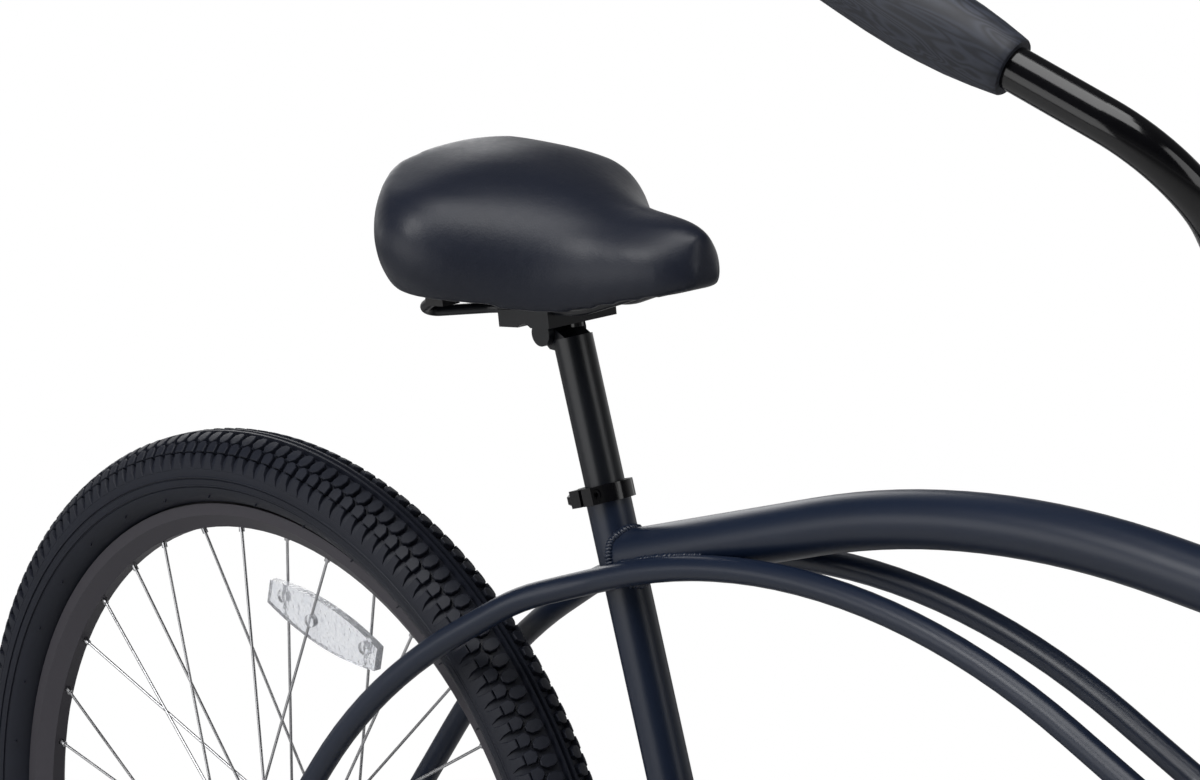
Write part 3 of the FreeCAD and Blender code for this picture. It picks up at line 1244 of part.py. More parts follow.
def pedal(side):
    """A block pedal: two tread blocks and end plates round a centre barrel."""
    direction = 1 if side < 0 else -1
    centre = BB + FORWARD * direction * CRANK_LENGTH
    start = PEDAL_START if side > 0 else -PEDAL_START - PEDAL_WIDTH
    at = centre + LEFT * start
    body = cylinder(at, LEFT, 11.0, PEDAL_WIDTH)
    for plate_y in (0.0, PEDAL_WIDTH - 5.0):
        corner = at + V(4 - PEDAL_LENGTH / 2, plate_y, -9)
        body = body.fuse(Part.makeBox(PEDAL_LENGTH - 8, 5.0, 18, corner))
    for front in (1, -1):
        corner = at + V(front * (PEDAL_LENGTH / 2 - 14) - 14, 6.0, -PEDAL_THICKNESS / 2)
        tread = Part.makeBox(28, PEDAL_WIDTH - 12.0, PEDAL_THICKNESS, corner)
        body = body.fuse(tread.makeFillet(3.5, tread.Edges))
        bar = at + V(front * (PEDAL_LENGTH / 2 - 14), 1, 0)
        body = body.fuse(cylinder(bar, LEFT, 4.0, PEDAL_WIDTH - 2))
    return body.cut(cylinder(at, LEFT, PEDAL_SPINDLE_R + RUN_GAP, PEDAL_WIDTH)).removeSplitter()


def pedal_spindles():
    spindles = []
    for side, direction in ((1, -1), (-1, 1)):
        eye = BB + FORWARD * direction * CRANK_LENGTH
        out = LEFT * side
        thread = cylinder(eye + out * CRANK_ARM_Y, out, PEDAL_SPINDLE_R + 1.0 - RUN_GAP, CRANK_ARM_THICKNESS)
        shoulder = hexagon(eye + out * (CRANK_ARM_Y + CRANK_ARM_THICKNESS), out, 15.0, 6.0)
        reach = PEDAL_START + PEDAL_WIDTH - CRANK_ARM_Y + 1
        shaft = cylinder(eye + out * CRANK_ARM_Y, out, PEDAL_SPINDLE_R, reach)
        spindles.append(thread.fuse(shoulder).fuse(shaft).removeSplitter())
    return group(spindles)


# Kickstand
STAND_X = 205.0
STAND_FOOT = V(16, 132, -262)
STAND_STOWED = V(-1, 0.10, 0.05).normalize()
STAND_AXIS = V(STAND_FOOT).cross(STAND_STOWED).normalize()
STAND_LEG_R = 6.5
STAND_PIN_R = 5.0
STAND_EYE_R = 10.0
STAND_EYE_LENGTH = 14.0
STAND_PIVOT = stay_axis_point(1, STAND_X) + V(0, 26, -18)


def kickstand_nodes():
    """A side stand clamped to the left chainstay, shown down; it folds back beside the rear wheel."""
    stay = stay_axis_point(1, STAND_X)
    shoe = block(stay - V(0, 0, 9), 34, CHAINSTAY_OD + 10, CHAINSTAY_OD + 27)
    pin_start = STAND_PIVOT - STAND_AXIS * (STAND_EYE_LENGTH / 2 + 18)
    pin = cylinder(pin_start, STAND_AXIS, STAND_PIN_R, STAND_EYE_LENGTH + 20)
    cap = cylinder(STAND_PIVOT + STAND_AXIS * (STAND_EYE_LENGTH / 2 + 0.4), STAND_AXIS, STAND_PIN_R + 3, 3.0)
    root = cylinder(pin_start, STAND_AXIS, STAND_EYE_R, 17.6)
    bracket = shoe.fuse(root).cut(solid_stay(1)).fuse(pin).fuse(cap)
    bracket = bracket.cut(solid_stay(1)).removeSplitter()
    eye = cylinder(STAND_PIVOT - STAND_AXIS * STAND_EYE_LENGTH / 2, STAND_AXIS, STAND_EYE_R, STAND_EYE_LENGTH)
    down = V(STAND_FOOT).normalize()
    length = STAND_FOOT.Length
    bar = cylinder(STAND_PIVOT + down * (STAND_PIN_R + 2), down, STAND_LEG_R, length - STAND_PIN_R - 8)
    leg = bar.fuse(eye).cut(cylinder(STAND_PIVOT - STAND_AXIS * 30, STAND_AXIS, STAND_PIN_R + RUN_GAP, 60))
    foot_start = STAND_PIVOT + down * (length - 34)
    foot = cylinder(foot_start, down, STAND_LEG_R + 3.5, 34)
    foot = foot.makeFillet(3.0, foot.Edges[:1])
    foot = foot.cut(cylinder(STAND_PIVOT, down, STAND_LEG_R, length - 6))
    return {"kickstand_bracket": bracket, "kickstand_leg": leg, "kickstand_foot": foot}


def screw(start, axis, radius, length, head_r, head):
    """A round-headed screw: the shank goes along the axis, the head stands behind its start."""
    shank = cylinder(start, axis, radius, length)
    return shank.fuse(cylinder(start, axis * -1, head_r, head)).removeSplitter()


def frame_screws():
    """The guard's two screws and the screw of the brake arm's strap."""
    screws = [screw(at, LEFT, SCREW_R, 9.0, 5.0, 3.0) for at in guard_screw_points()]
    strap = REAR_AXLE + V(BRAKE_ARM_END[0], BRAKE_ARM_Y + BRAKE_ARM_THICKNESS + 2, BRAKE_ARM_END[1])
    screws.append(screw(strap, LEFT * -1, 3.0, 9.0, 5.0, 3.5))
    return group(screws)


def drive_nodes():
    cups, cones = bottom_bracket()
    return {
        "bottom_bracket_cups": cups,
        "crank_cones": cones,
        "crank": crank(),
        "chainring": chainring(),
        "rear_sprocket": rear_sprocket(),
        "drive_chain": drive_chain(),
        "chain_guard": chain_guard(),
        "left_pedal": pedal(1),
        "right_pedal": pedal(-1),
        "pedal_spindles": pedal_spindles(),
    }


def main():
    os.makedirs("parts", exist_ok=True)
    nodes = frame_nodes()
    nodes.update(wheels())
    nodes.update(fork_nodes())
    nodes.update(stem_nodes())
    nodes.update(saddle_nodes())
    nodes.update(drive_nodes())
    nodes.update(kickstand_nodes())
    collar, collar_bolt = seat_clamp()
    nodes["seat_clamp"] = collar
    nodes["seat_clamp_bolt"] = collar_bolt
    nodes["seat_post"] = seat_post()
    nodes["rear_axle"] = rear_axle_node()
    nodes["rear_axle_nuts"] = axle_nuts(REAR_AXLE, REAR_SPACING / 2 + DROPOUT_THICKNESS, REAR_NUT)
    nodes["brake_shoes"] = brake_shoes()
    nodes["brake_arm"] = brake_arm()
    nodes["frame_screws"] = frame_screws()
    for name, shape in nodes.items():
        shape.exportStep("parts/" + name + ".step")
        print(name, shape.isValid(), len(shape.Solids), round(shape.Volume))


main()
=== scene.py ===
"""Dresses the beach cruiser bicycle: treaded tyres, weld beads, saddle cover, grips, finishes and studio."""

import json
import math

import bmesh
import bpy
from mathutils import Matrix, Vector
from mathutils.bvhtree import BVHTree


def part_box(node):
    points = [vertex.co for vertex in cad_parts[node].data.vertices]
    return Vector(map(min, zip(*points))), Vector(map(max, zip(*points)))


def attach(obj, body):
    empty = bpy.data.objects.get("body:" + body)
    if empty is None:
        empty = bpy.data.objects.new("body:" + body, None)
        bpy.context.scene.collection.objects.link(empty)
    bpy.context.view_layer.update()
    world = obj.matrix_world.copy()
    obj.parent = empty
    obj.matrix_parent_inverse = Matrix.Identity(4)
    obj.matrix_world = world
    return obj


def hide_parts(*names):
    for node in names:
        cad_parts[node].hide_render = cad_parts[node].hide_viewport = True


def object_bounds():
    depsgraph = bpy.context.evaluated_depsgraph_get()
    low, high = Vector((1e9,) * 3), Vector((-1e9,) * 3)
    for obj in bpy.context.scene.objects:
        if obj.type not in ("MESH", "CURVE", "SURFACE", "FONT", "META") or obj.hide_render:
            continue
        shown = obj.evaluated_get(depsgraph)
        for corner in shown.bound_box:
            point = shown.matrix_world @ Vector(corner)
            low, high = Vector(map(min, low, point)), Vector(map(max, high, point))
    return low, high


bl_info = {
    "name": "Beach cruiser looks",
    "version": (1, 0, 0),
    "blender": (4, 5, 0),
    "location": "View3D > Sidebar > Cruiser",
    "description": "Builds the visible pieces and finishes of a beach cruiser bicycle",
    "category": "Object",
}

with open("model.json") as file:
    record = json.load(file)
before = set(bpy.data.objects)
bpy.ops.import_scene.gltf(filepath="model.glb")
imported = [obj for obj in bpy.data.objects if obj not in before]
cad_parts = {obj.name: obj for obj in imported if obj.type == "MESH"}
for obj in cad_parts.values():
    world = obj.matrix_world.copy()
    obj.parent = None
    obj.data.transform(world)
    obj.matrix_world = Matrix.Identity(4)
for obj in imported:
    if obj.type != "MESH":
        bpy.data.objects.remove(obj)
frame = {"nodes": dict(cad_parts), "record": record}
CAD_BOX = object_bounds()
MM = 0.001


def linear(hex_colour):
    """An sRGB hex colour as linear red, green and blue."""
    channels = [int(hex_colour[k : k + 2], 16) / 255 for k in (0, 2, 4)]
    return tuple(c / 12.92 if c <= 0.04045 else ((c + 0.055) / 1.055) ** 2.4 for c in channels)


def colour_property(name, description, hex_colour):
    """A colour that the sidebar shows, from its sRGB hex value."""
    return bpy.props.FloatVectorProperty(
        name=name, description=description, subtype="COLOR", size=3, min=0, max=1, default=linear(hex_colour)
    )


def size_property(name, description, default, low, high):
    """A length in metres that the sidebar shows."""
    return bpy.props.FloatProperty(
        name=name, description=description, default=default, min=low, max=high,
        subtype="DISTANCE", unit="LENGTH",
    )


def power_property(name, description, default):
    """A lamp's power in watts that the sidebar shows."""
    return bpy.props.FloatProperty(
        name=name, description=description, default=default, min=0.0, max=200.0, subtype="POWER", unit="POWER"
    )


class ColourSettings(bpy.types.PropertyGroup):
    """Colours that a rider would choose."""

    frame_navy: colour_property("Frame", "Powder coat of the frame and fork", "0d192d")
    saddle_vinyl: colour_property("Saddle", "Vinyl of the saddle cover", "191d29")
    grip_dark: colour_property("Grip, dark streak", "Darker swirl of the grips", "191c25")
    grip_pale: colour_property("Grip, pale streak", "Paler swirl of the grips", "3d4250")
    rim_graphite: colour_property("Rims", "Anodised finish of the rims", "4a484e")
    tyre_black: colour_property("Tyres", "Rubber of the tyres", "191c26")


class TyreSettings(bpy.types.PropertyGroup):
    """Sizes of the tread."""

    lug_count: bpy.props.IntProperty(
        name="Lugs", description="Shoulder lugs round each tyre", default=172, min=60, max=260
    )
    tread_depth: size_property("Tread depth", "Depth of the grooves", 0.004, 0.001, 0.005)
    lug_length: size_property("Lug length", "How far the lugs run down the sidewall", 0.0125, 0.006, 0.016)
    wall: size_property("Wall", "Thickness of the casing under the tread", 0.0032, 0.002, 0.005)


class WeldSettings(bpy.types.PropertyGroup):
    """Sizes of the weld beads."""

    ripple_spacing: size_property("Ripple spacing", "Way from one ripple to the next", 0.0021, 0.001, 0.006)
    bead_radius: size_property("Bead radius", "Half the width of a bead", 0.0032, 0.001, 0.006)


class SaddleSettings(bpy.types.PropertyGroup):
    """How the saddle cover is stuffed."""

    voxel: size_property("Voxel", "Mesh size of the cushion before it is inflated", 0.0045, 0.002, 0.008)
    pressure: bpy.props.FloatProperty(
        name="Pressure", description="Pressure of the foam on the cover", default=4.0, min=0.5, max=10.0
    )
    swell_limit: size_property("Swell limit", "Furthest that the foam pushes the cover", 0.0018, 0.0, 0.01)
    fill: bpy.props.FloatProperty(
        name="Fill", description="Tightness of the cushion", default=0.85, min=0.0, max=1.0, subtype="FACTOR"
    )


class StageSettings(bpy.types.PropertyGroup):
    """Camera and studio."""

    lens: bpy.props.FloatProperty(
        name="Lens", description="Focal length of the camera", default=126.78, min=20.0, max=300.0,
        subtype="DISTANCE_CAMERA", unit="CAMERA",
    )
    key_power: power_property("Key power", "Power of the overhead softbox", 50.0)
    side_power: power_property("Side power", "Power that the lamps round the bicycle share out", 54.0)
    fill_light: bpy.props.FloatProperty(
        name="Room light", description="Strength of the light from all round", default=0.06, min=0.0, max=1.0
    )


class CruiserSettings(bpy.types.PropertyGroup):
    """All the settings of the bicycle's looks."""

    colours: bpy.props.PointerProperty(type=ColourSettings)
    tyre: bpy.props.PointerProperty(type=TyreSettings)
    weld: bpy.props.PointerProperty(type=WeldSettings)
    saddle: bpy.props.PointerProperty(type=SaddleSettings)
    stage: bpy.props.PointerProperty(type=StageSettings)


def settings():
    """The settings that the sidebar shows."""
    return bpy.context.scene.cruiser


def add(tree, kind, links=None, **values):
    """Adds a node with its settings, then sets or links its inputs: a value, or a (node, output) pair."""
    node = tree.nodes.new(kind)
    for name, value in values.items():
        setattr(node, name, value)
    for name, value in (links or {}).items():
        socket = node.inputs[name]
        if isinstance(value, tuple) and isinstance(value[0], bpy.types.Node):
            tree.links.new(value[0].outputs[value[1]], socket)
        else:
            socket.default_value = value
    return node


def per_mm(size):
    """A texture scale whose features are this many millimetres across, on coordinates in metres."""
    return 1 / (size * MM)


def fresh_material(name):
    """An empty material, its node tree and its shader."""
    material = bpy.data.materials.new(name)
    material.use_nodes = True
    tree = material.node_tree
    tree.nodes.clear()
    shader = add(tree, "ShaderNodeBsdfPrincipled")
    add(tree, "ShaderNodeOutputMaterial", {"Surface": (shader, "BSDF")})
    return material, tree, shader


def rgba(colour):
    """A colour with full opacity."""
    return (*colour, 1.0)


def tone(hex_colour):
    """An sRGB hex colour for a colour socket."""
    return rgba(linear(hex_colour))


def shade(colour, factor):
    """A colour made darker or paler."""
    return rgba([min(1.0, c * factor) for c in colour])


# How deep a finish's relief is: mould and paint texture, leather grain, and a reflector's prisms
FINE_RELIEF = 0.2 * MM
GRAIN_RELIEF = 0.3 * MM
PRISM_RELIEF = 0.8 * MM


def dress(tree, shader, tones, gloss=None, relief=None, fixed=None):
    """Gives a shader its finish: patterns that vary it, and the values that are the same all over.

    tones is a pattern's node and the colours at its two ends, gloss a node and two roughnesses, and relief a
    node with its strength and depth. fixed holds values for the shader's own sockets.
    """
    pattern, dark, pale = tones
    colour = add(tree, "ShaderNodeMix", {"Factor": (pattern, 0), 6: dark, 7: pale}, data_type="RGBA")
    tree.links.new(colour.outputs[2], shader.inputs["Base Color"])
    if gloss:
        pattern, smooth, dull = gloss
        rough = add(tree, "ShaderNodeMapRange", {"Value": (pattern, 0), "To Min": smooth, "To Max": dull})
        tree.links.new(rough.outputs["Result"], shader.inputs["Roughness"])
    if relief:
        pattern, strength, depth = relief
        bump = add(tree, "ShaderNodeBump", {"Height": (pattern, 0), "Strength": strength, "Distance": depth})
        tree.links.new(bump.outputs["Normal"], shader.inputs["Normal"])
    for socket, value in (fixed or {}).items():
        shader.inputs[socket].default_value = value


def powder_coat():
    """Powder-coated steel: matte, with a broad soft highlight and a faint orange peel."""
    colour = settings().colours.frame_navy
    material, tree, shader = fresh_material("powder_coated_steel_navy")
    place = add(tree, "ShaderNodeTexCoord")
    cloud = add(tree, "ShaderNodeTexNoise", {"Vector": (place, "Object"), "Scale": per_mm(60), "Detail": 3.0})
    # The peel of a powder coat is about 1 mm across, and is drawn at 1.4 mm so that it shows
    peel = add(tree, "ShaderNodeTexNoise", {"Vector": (place, "Object"), "Scale": per_mm(1.4), "Detail": 2.0})
    dress(tree, shader, (cloud, shade(colour, 0.9), shade(colour, 1.1)), gloss=(peel, 0.32, 0.40),
          relief=(peel, 0.12, FINE_RELIEF))
    return material


def black_enamel():
    """Gloss black enamel on steel: a deep black with sharp highlights and a slight flow-out waviness."""
    material, tree, shader = fresh_material("gloss_black_enamel_steel")
    place = add(tree, "ShaderNodeTexCoord")
    wave = add(tree, "ShaderNodeTexNoise", {"Vector": (place, "Object"), "Scale": per_mm(4), "Detail": 2.0})
    dress(tree, shader, (wave, tone("08080a"), tone("0e0e11")), relief=(wave, 0.05, FINE_RELIEF),
          fixed={"Roughness": 0.14, "IOR": 1.5})
    return material


def satin_coat():
    """Satin black electro-coat on steel tube: dark, with a soft band of light along the tube."""
    material, tree, shader = fresh_material("satin_black_electrocoated_steel")
    place = add(tree, "ShaderNodeTexCoord")
    grain = add(tree, "ShaderNodeTexNoise", {
        "Vector": (place, "Object"), "Scale": per_mm(0.9), "Detail": 2.0,
    })
    dress(tree, shader, (grain, tone("080a0f"), tone("10141c")), gloss=(grain, 0.28, 0.36),
          fixed={"IOR": 1.5})
    return material


def anodised_rim():
    """Graphite anodised aluminium, rolled: a dull metal with a fine even grain under its oxide."""
    colour = settings().colours.rim_graphite
    material, tree, shader = fresh_material("anodised_aluminium_graphite")
    place = add(tree, "ShaderNodeTexCoord")
    grain = add(tree, "ShaderNodeTexNoise", {
        "Vector": (place, "Object"), "Scale": per_mm(0.8), "Detail": 3.0,
    })
    dress(tree, shader, (grain, shade(colour, 0.85), shade(colour, 1.12)), gloss=(grain, 0.42, 0.55),
          fixed={"Metallic": 0.5})
    return material


def bright_steel():
    """Zinc-plated and stainless steel, drawn: bright, with small changes of gloss."""
    material, tree, shader = fresh_material("zinc_plated_steel_bright")
    place = add(tree, "ShaderNodeTexCoord")
    cloud = add(tree, "ShaderNodeTexNoise", {"Vector": (place, "Object"), "Scale": per_mm(30), "Detail": 2.0})
    dress(tree, shader, (cloud, tone("a9aaad"), tone("d4d4d6")), gloss=(cloud, 0.18, 0.34),
          fixed={"Metallic": 1.0})
    return material


def oiled_steel():
    """Hardened steel under a film of oil: dark grey-brown metal with cloudy gloss."""
    material, tree, shader = fresh_material("hardened_steel_oiled")
    place = add(tree, "ShaderNodeTexCoord")
    cloud = add(tree, "ShaderNodeTexNoise", {"Vector": (place, "Object"), "Scale": per_mm(6), "Detail": 4.0})
    dress(tree, shader, (cloud, tone("45423e"), tone("7c7974")), gloss=(cloud, 0.25, 0.45),
          fixed={"Metallic": 1.0})
    return material


def tyre_rubber():
    """Vulcanised tyre rubber: blue-black, with a dull bloom that greys the flat sidewall."""
    colour = settings().colours.tyre_black
    material, tree, shader = fresh_material("vulcanised_rubber_tyre")
    place = add(tree, "ShaderNodeTexCoord")
    bloom = add(tree, "ShaderNodeTexNoise", {"Vector": (place, "Object"), "Scale": per_mm(25), "Detail": 4.0})
    skin = add(tree, "ShaderNodeTexNoise", {"Vector": (place, "Object"), "Scale": per_mm(0.8), "Detail": 2.0})
    dress(tree, shader, (bloom, shade(colour, 0.8), shade(colour, 1.3)), gloss=(bloom, 0.44, 0.58),
          relief=(skin, 0.2, FINE_RELIEF), fixed={"Specular IOR Level": 0.28})
    return material


def plain_rubber():
    """Moulded butyl rubber: dull black with a fine mould texture."""
    material, tree, shader = fresh_material("moulded_rubber_black")
    place = add(tree, "ShaderNodeTexCoord")
    skin = add(tree, "ShaderNodeTexNoise", {"Vector": (place, "Object"), "Scale": per_mm(0.9), "Detail": 2.0})
    dress(tree, shader, (skin, tone("131315"), tone("202023")), relief=(skin, 0.2, FINE_RELIEF),
          fixed={"Roughness": 0.6})
    return material


def swirled_grip():
    """Marbled soft rubber: pale streaks swirled through a dark blue-grey, drawn out along the grip."""
    colours = settings().colours
    material, tree, shader = fresh_material("marbled_rubber_grip")
    place = add(tree, "ShaderNodeAttribute", attribute_name="along_grip")
    # A streak is about 2 mm wide and drawn out along the grip
    drawn = add(tree, "ShaderNodeMapping", {"Vector": (place, "Vector"), "Scale": (1.0, 1.0, 0.22)})
    swirl = add(tree, "ShaderNodeTexNoise", {"Vector": (drawn, "Vector"), "Scale": per_mm(22), "Detail": 1.5,
                                             "Distortion": 1.6})
    bands = add(tree, "ShaderNodeMath", {0: (swirl, "Fac"), 1: 95.0}, operation="MULTIPLY")
    wave = add(tree, "ShaderNodeMath", {0: (bands, "Value")}, operation="SINE")
    fade = add(tree, "ShaderNodeTexNoise", {"Vector": (drawn, "Vector"), "Scale": per_mm(30), "Detail": 2.0})
    streak = add(tree, "ShaderNodeMapRange", {"Value": (wave, "Value"), "From Min": -1.0, "From Max": 1.0})
    soft = add(tree, "ShaderNodeMath", {0: (streak, "Result"), 1: (fade, "Fac")}, operation="MULTIPLY")
    skin = add(tree, "ShaderNodeTexNoise", {"Vector": (place, "Vector"), "Scale": per_mm(0.8), "Detail": 2.0})
    dress(tree, shader, (soft, rgba(colours.grip_dark), rgba(colours.grip_pale)),
          relief=(skin, 0.12, FINE_RELIEF), fixed={"Roughness": 0.55, "IOR": 1.5})
    return material


def saddle_vinyl():
    """Embossed vinyl over foam: a fine leather grain, soft gloss, and small creases that break the gloss."""
    colour = settings().colours.saddle_vinyl
    material, tree, shader = fresh_material("embossed_vinyl_saddle")
    place = add(tree, "ShaderNodeTexCoord")
    cloud = add(tree, "ShaderNodeTexNoise", {"Vector": (place, "Object"), "Scale": per_mm(45), "Detail": 3.0})
    # Vinyl grain has cells near 0.8 mm, and is drawn at 1.3 mm so that it shows
    grain = add(tree, "ShaderNodeTexVoronoi", {"Vector": (place, "Object"), "Scale": per_mm(1.3)})
    crease = add(tree, "ShaderNodeTexNoise", {"Vector": (place, "Object"), "Scale": per_mm(5), "Detail": 3.0})
    surface = add(tree, "ShaderNodeMath", {0: (grain, "Distance"), 1: (crease, "Fac")}, operation="ADD")
    dress(tree, shader, (cloud, shade(colour, 0.88), shade(colour, 1.12)), gloss=(crease, 0.34, 0.46),
          relief=(surface, 0.16, GRAIN_RELIEF), fixed={"Specular IOR Level": 0.35})
    return material


def moulded_plastic():
    """Injection-moulded polypropylene: dull black with a spark-eroded mould texture."""
    material, tree, shader = fresh_material("moulded_polypropylene_black")
    place = add(tree, "ShaderNodeTexCoord")
    spark = add(tree, "ShaderNodeTexNoise", {
        "Vector": (place, "Object"), "Scale": per_mm(0.7), "Detail": 2.0,
    })
    dress(tree, shader, (spark, tone("121214"), tone("1d1d20")), relief=(spark, 0.25, FINE_RELIEF),
          fixed={"Roughness": 0.5})
    return material


def prism_plastic():
    """Clear moulded acrylic with small prisms on its back: pale, with a sparkle of tiny facets."""
    material, tree, shader = fresh_material("moulded_acrylic_prism")
    place = add(tree, "ShaderNodeTexCoord")
    facets = add(tree, "ShaderNodeTexVoronoi", {"Vector": (place, "Object"), "Scale": per_mm(3.2)},
                 distance="CHEBYCHEV")
    dress(tree, shader, (facets, tone("fafbfd"), tone("dfe2ea")), relief=(facets, 0.5, PRISM_RELIEF),
          fixed={"Transmission Weight": 0.8, "Roughness": 0.12, "IOR": 1.49})
    return material


FINISHES = {
    "frame_paint": powder_coat,
    "black_paint": black_enamel,
    "satin_black": satin_coat,
    "rim_grey": anodised_rim,
    "tyre": tyre_rubber,
    "inner_rubber": plain_rubber,
    "bright_steel": bright_steel,
    "dark_steel": oiled_steel,
    "grip_rubber": swirled_grip,
    "saddle_vinyl": saddle_vinyl,
    "black_plastic": moulded_plastic,
    "clear_plastic": prism_plastic,
    "pedal_rubber": plain_rubber,
}
finish_made = {}


def finish(slot):
    """The material of a slot, made once."""
    if slot not in finish_made:
        finish_made[slot] = FINISHES[slot]()
    return finish_made[slot]


def new_piece(name, mesh, slot):
    """A mesh object at the origin with the finish of a slot."""
    piece = bpy.data.objects.new(name, mesh)
    bpy.context.scene.collection.objects.link(piece)
    if not mesh.materials:
        mesh.materials.append(finish(slot))
    return piece


def mesh_of(name, build):
    """A mesh from a function that fills a bmesh."""
    mesh = bpy.data.meshes.new(name)
    bm = bmesh.new()
    build(bm)
    bm.to_mesh(mesh)
    bm.free()
    return mesh


def plain_mesh(piece):
    """The piece's mesh as its modifiers leave it, with the modifiers removed."""
    depsgraph = bpy.context.evaluated_depsgraph_get()
    made = bpy.data.meshes.new_from_object(piece.evaluated_get(depsgraph), depsgraph=depsgraph)
    piece.modifiers.clear()
    piece.data = made
    return made


def run_tree(piece, tree, values):
    """Runs a node tree on a piece, with its inputs by name, and keeps the plain mesh that it makes."""
    modifier = piece.modifiers.new(tree.name, "NODES")
    modifier.node_group = tree
    for item in tree.interface.items_tree:
        if item.in_out == "INPUT" and item.name in values:
            modifier[item.identifier] = values[item.name]
    return plain_mesh(piece)


def append_mesh(mesh, more):
    """Adds the faces of another mesh to a mesh."""
    bm = bmesh.new()
    bm.from_mesh(mesh)
    bm.from_mesh(more)
    bm.to_mesh(mesh)
    bm.free()


# Edges sharper than this many degrees stay crisp on the tread, the weld beads and the grips
TREAD_CREASE = 32
BEAD_CREASE = 60
GRIP_CREASE = 50


def smooth_by_angle(mesh, degrees):
    """Shades a mesh smooth, with edges sharper than an angle left crisp."""
    mesh.shade_smooth()
    mesh.set_sharp_from_angle(angle=math.radians(degrees))


class Outline:
    """A line of (radius, across) points that gives a place and its outward normal at a distance along it."""

    def __init__(self, points):
        self.points = points
        self.along = [0.0]
        for a, b in zip(points, points[1:]):
            self.along.append(self.along[-1] + math.dist(a, b))

    def at(self, distance):
        """The place at a distance along the line, and the outward normal there."""
        distance = min(max(distance, 0.0), self.along[-1])
        k = 0
        while k < len(self.points) - 2 and self.along[k + 1] < distance:
            k += 1
        a, b = self.points[k], self.points[k + 1]
        share = (distance - self.along[k]) / (self.along[k + 1] - self.along[k])
        run = ((b[0] - a[0]) / math.dist(a, b), (b[1] - a[1]) / math.dist(a, b))
        return a[0] + (b[0] - a[0]) * share, a[1] + (b[1] - a[1]) * share, -run[1], run[0]

    def where_radius(self, radius):
        """The distance along the line at which it first reaches a radius."""
        for k, (a, b) in enumerate(zip(self.points, self.points[1:])):
            if a[0] <= radius <= b[0]:
                return self.along[k] + math.dist(a, b) * (radius - a[0]) / (b[0] - a[0])
        raise ValueError("the line does not reach that radius")


def arc(first, middle, last, count):
    """Points on the circle through three points, from the first to the last."""
    (ax, ay), (bx, by), (cx, cy) = first, middle, last
    d = 2 * (ax * (by - cy) + bx * (cy - ay) + cx * (ay - by))
    ux = ((ax**2 + ay**2) * (by - cy) + (bx**2 + by**2) * (cy - ay) + (cx**2 + cy**2) * (ay - by)) / d
    uy = ((ax**2 + ay**2) * (cx - bx) + (bx**2 + by**2) * (ax - cx) + (cx**2 + cy**2) * (bx - ax)) / d
    start = math.atan2(ay - uy, ax - ux)
    turn_last = (math.atan2(cy - uy, cx - ux) - start) % math.tau
    turn_middle = (math.atan2(by - uy, bx - ux) - start) % math.tau
    if turn_middle > turn_last:
        turn_last -= math.tau
    radius = math.hypot(ax - ux, ay - uy)
    turns = [start + turn_last * k / count for k in range(count + 1)]
    return [(ux + radius * math.cos(turn), uy + radius * math.sin(turn)) for turn in turns]


# Places on the tyre's outside, from its bead to its shoulder, as shares of its radius and of its half width
TYRE_PLACES = ((0.8537, 0.4185), (0.8757, 0.837), (0.9224, 1.0), (0.9612, 0.9037), (0.98507, 0.6296))
# Steps along each arc of the flank, and over the crown from shoulder to shoulder
FLANK_STEPS = 10
CROWN_STEPS = 20
# Outlines of the tread's blocks for one pitch: share of a pitch, and millimetres from the shoulder's edge
SHOULDER_BLOCK = [(-0.34, 0.6), (0.34, 0.6), (0.37, 6.6), (0.14, 9.4), (-0.14, 9.4), (-0.37, 6.6)]
CROWN_BLOCK = [(0.38, 9.2), (0.62, 9.2), (0.85, 12.2), (0.85, 17.4), (0.68, 21.0), (0.32, 21.0), (0.15, 17.4),
               (0.15, 12.2)]
SIDE_LUG = [(-0.25, -0.3), (0.25, -0.3), (0.29, -6.5), (0.45, -12.2), (-0.45, -12.2), (-0.29, -6.5)]
SHOULDER_RADIUS_SHARE = 0.964
# A block's size at its top, its edge and its foot, its rise in the middle, its bevel and how far it sinks in
BLOCK_TOP, BLOCK_EDGE, BLOCK_FOOT = 0.90, 1.0, 1.05
BLOCK_CROWN = 0.1 * MM
BLOCK_BEVEL = 0.5 * MM
BLOCK_SINK = 0.4 * MM
# Moulded lines round the sidewall: radii as shares of the tyre's, step and depth of their section in
# millimetres, and how far the casing's other points keep away. Then the steps along sidewall and lugs
SIDEWALL_LINES = (0.8942, 0.9122)
LINE_SECTION = ((-1.3, 0.0), (-0.8, 0.7), (-0.1, 0.7), (0.2, -0.35), (0.9, -0.35), (1.3, 0.0))
LINE_CLEARANCE = 1.6 * MM
SIDEWALL_STEPS = 12
LUG_STEPS = 6
# The rib beside the crown: its start and end in millimetres from the shoulder's edge, its depth under the
# surface, the width of its slopes, and the room that it needs before the crown
RIB_PLACES = (24.4, 26.3)
RIB_DEPTH = 0.6 * MM
RIB_SLOPE = 0.5 * MM
RIB_ROOM = 0.6 * MM
# Into how many parts the casing's line is cut for the inner skin
INNER_STEPS = 8
# Moulding nibs on the sidewall: how many, their place as a share of the tyre's radius, and their size
VENT_COUNT = 36
VENT_RADIUS_SHARE = 0.8716
VENT_FOOT_R, VENT_TIP_R, VENT_LENGTH = 0.8 * MM, 0.6 * MM, 4.0 * MM


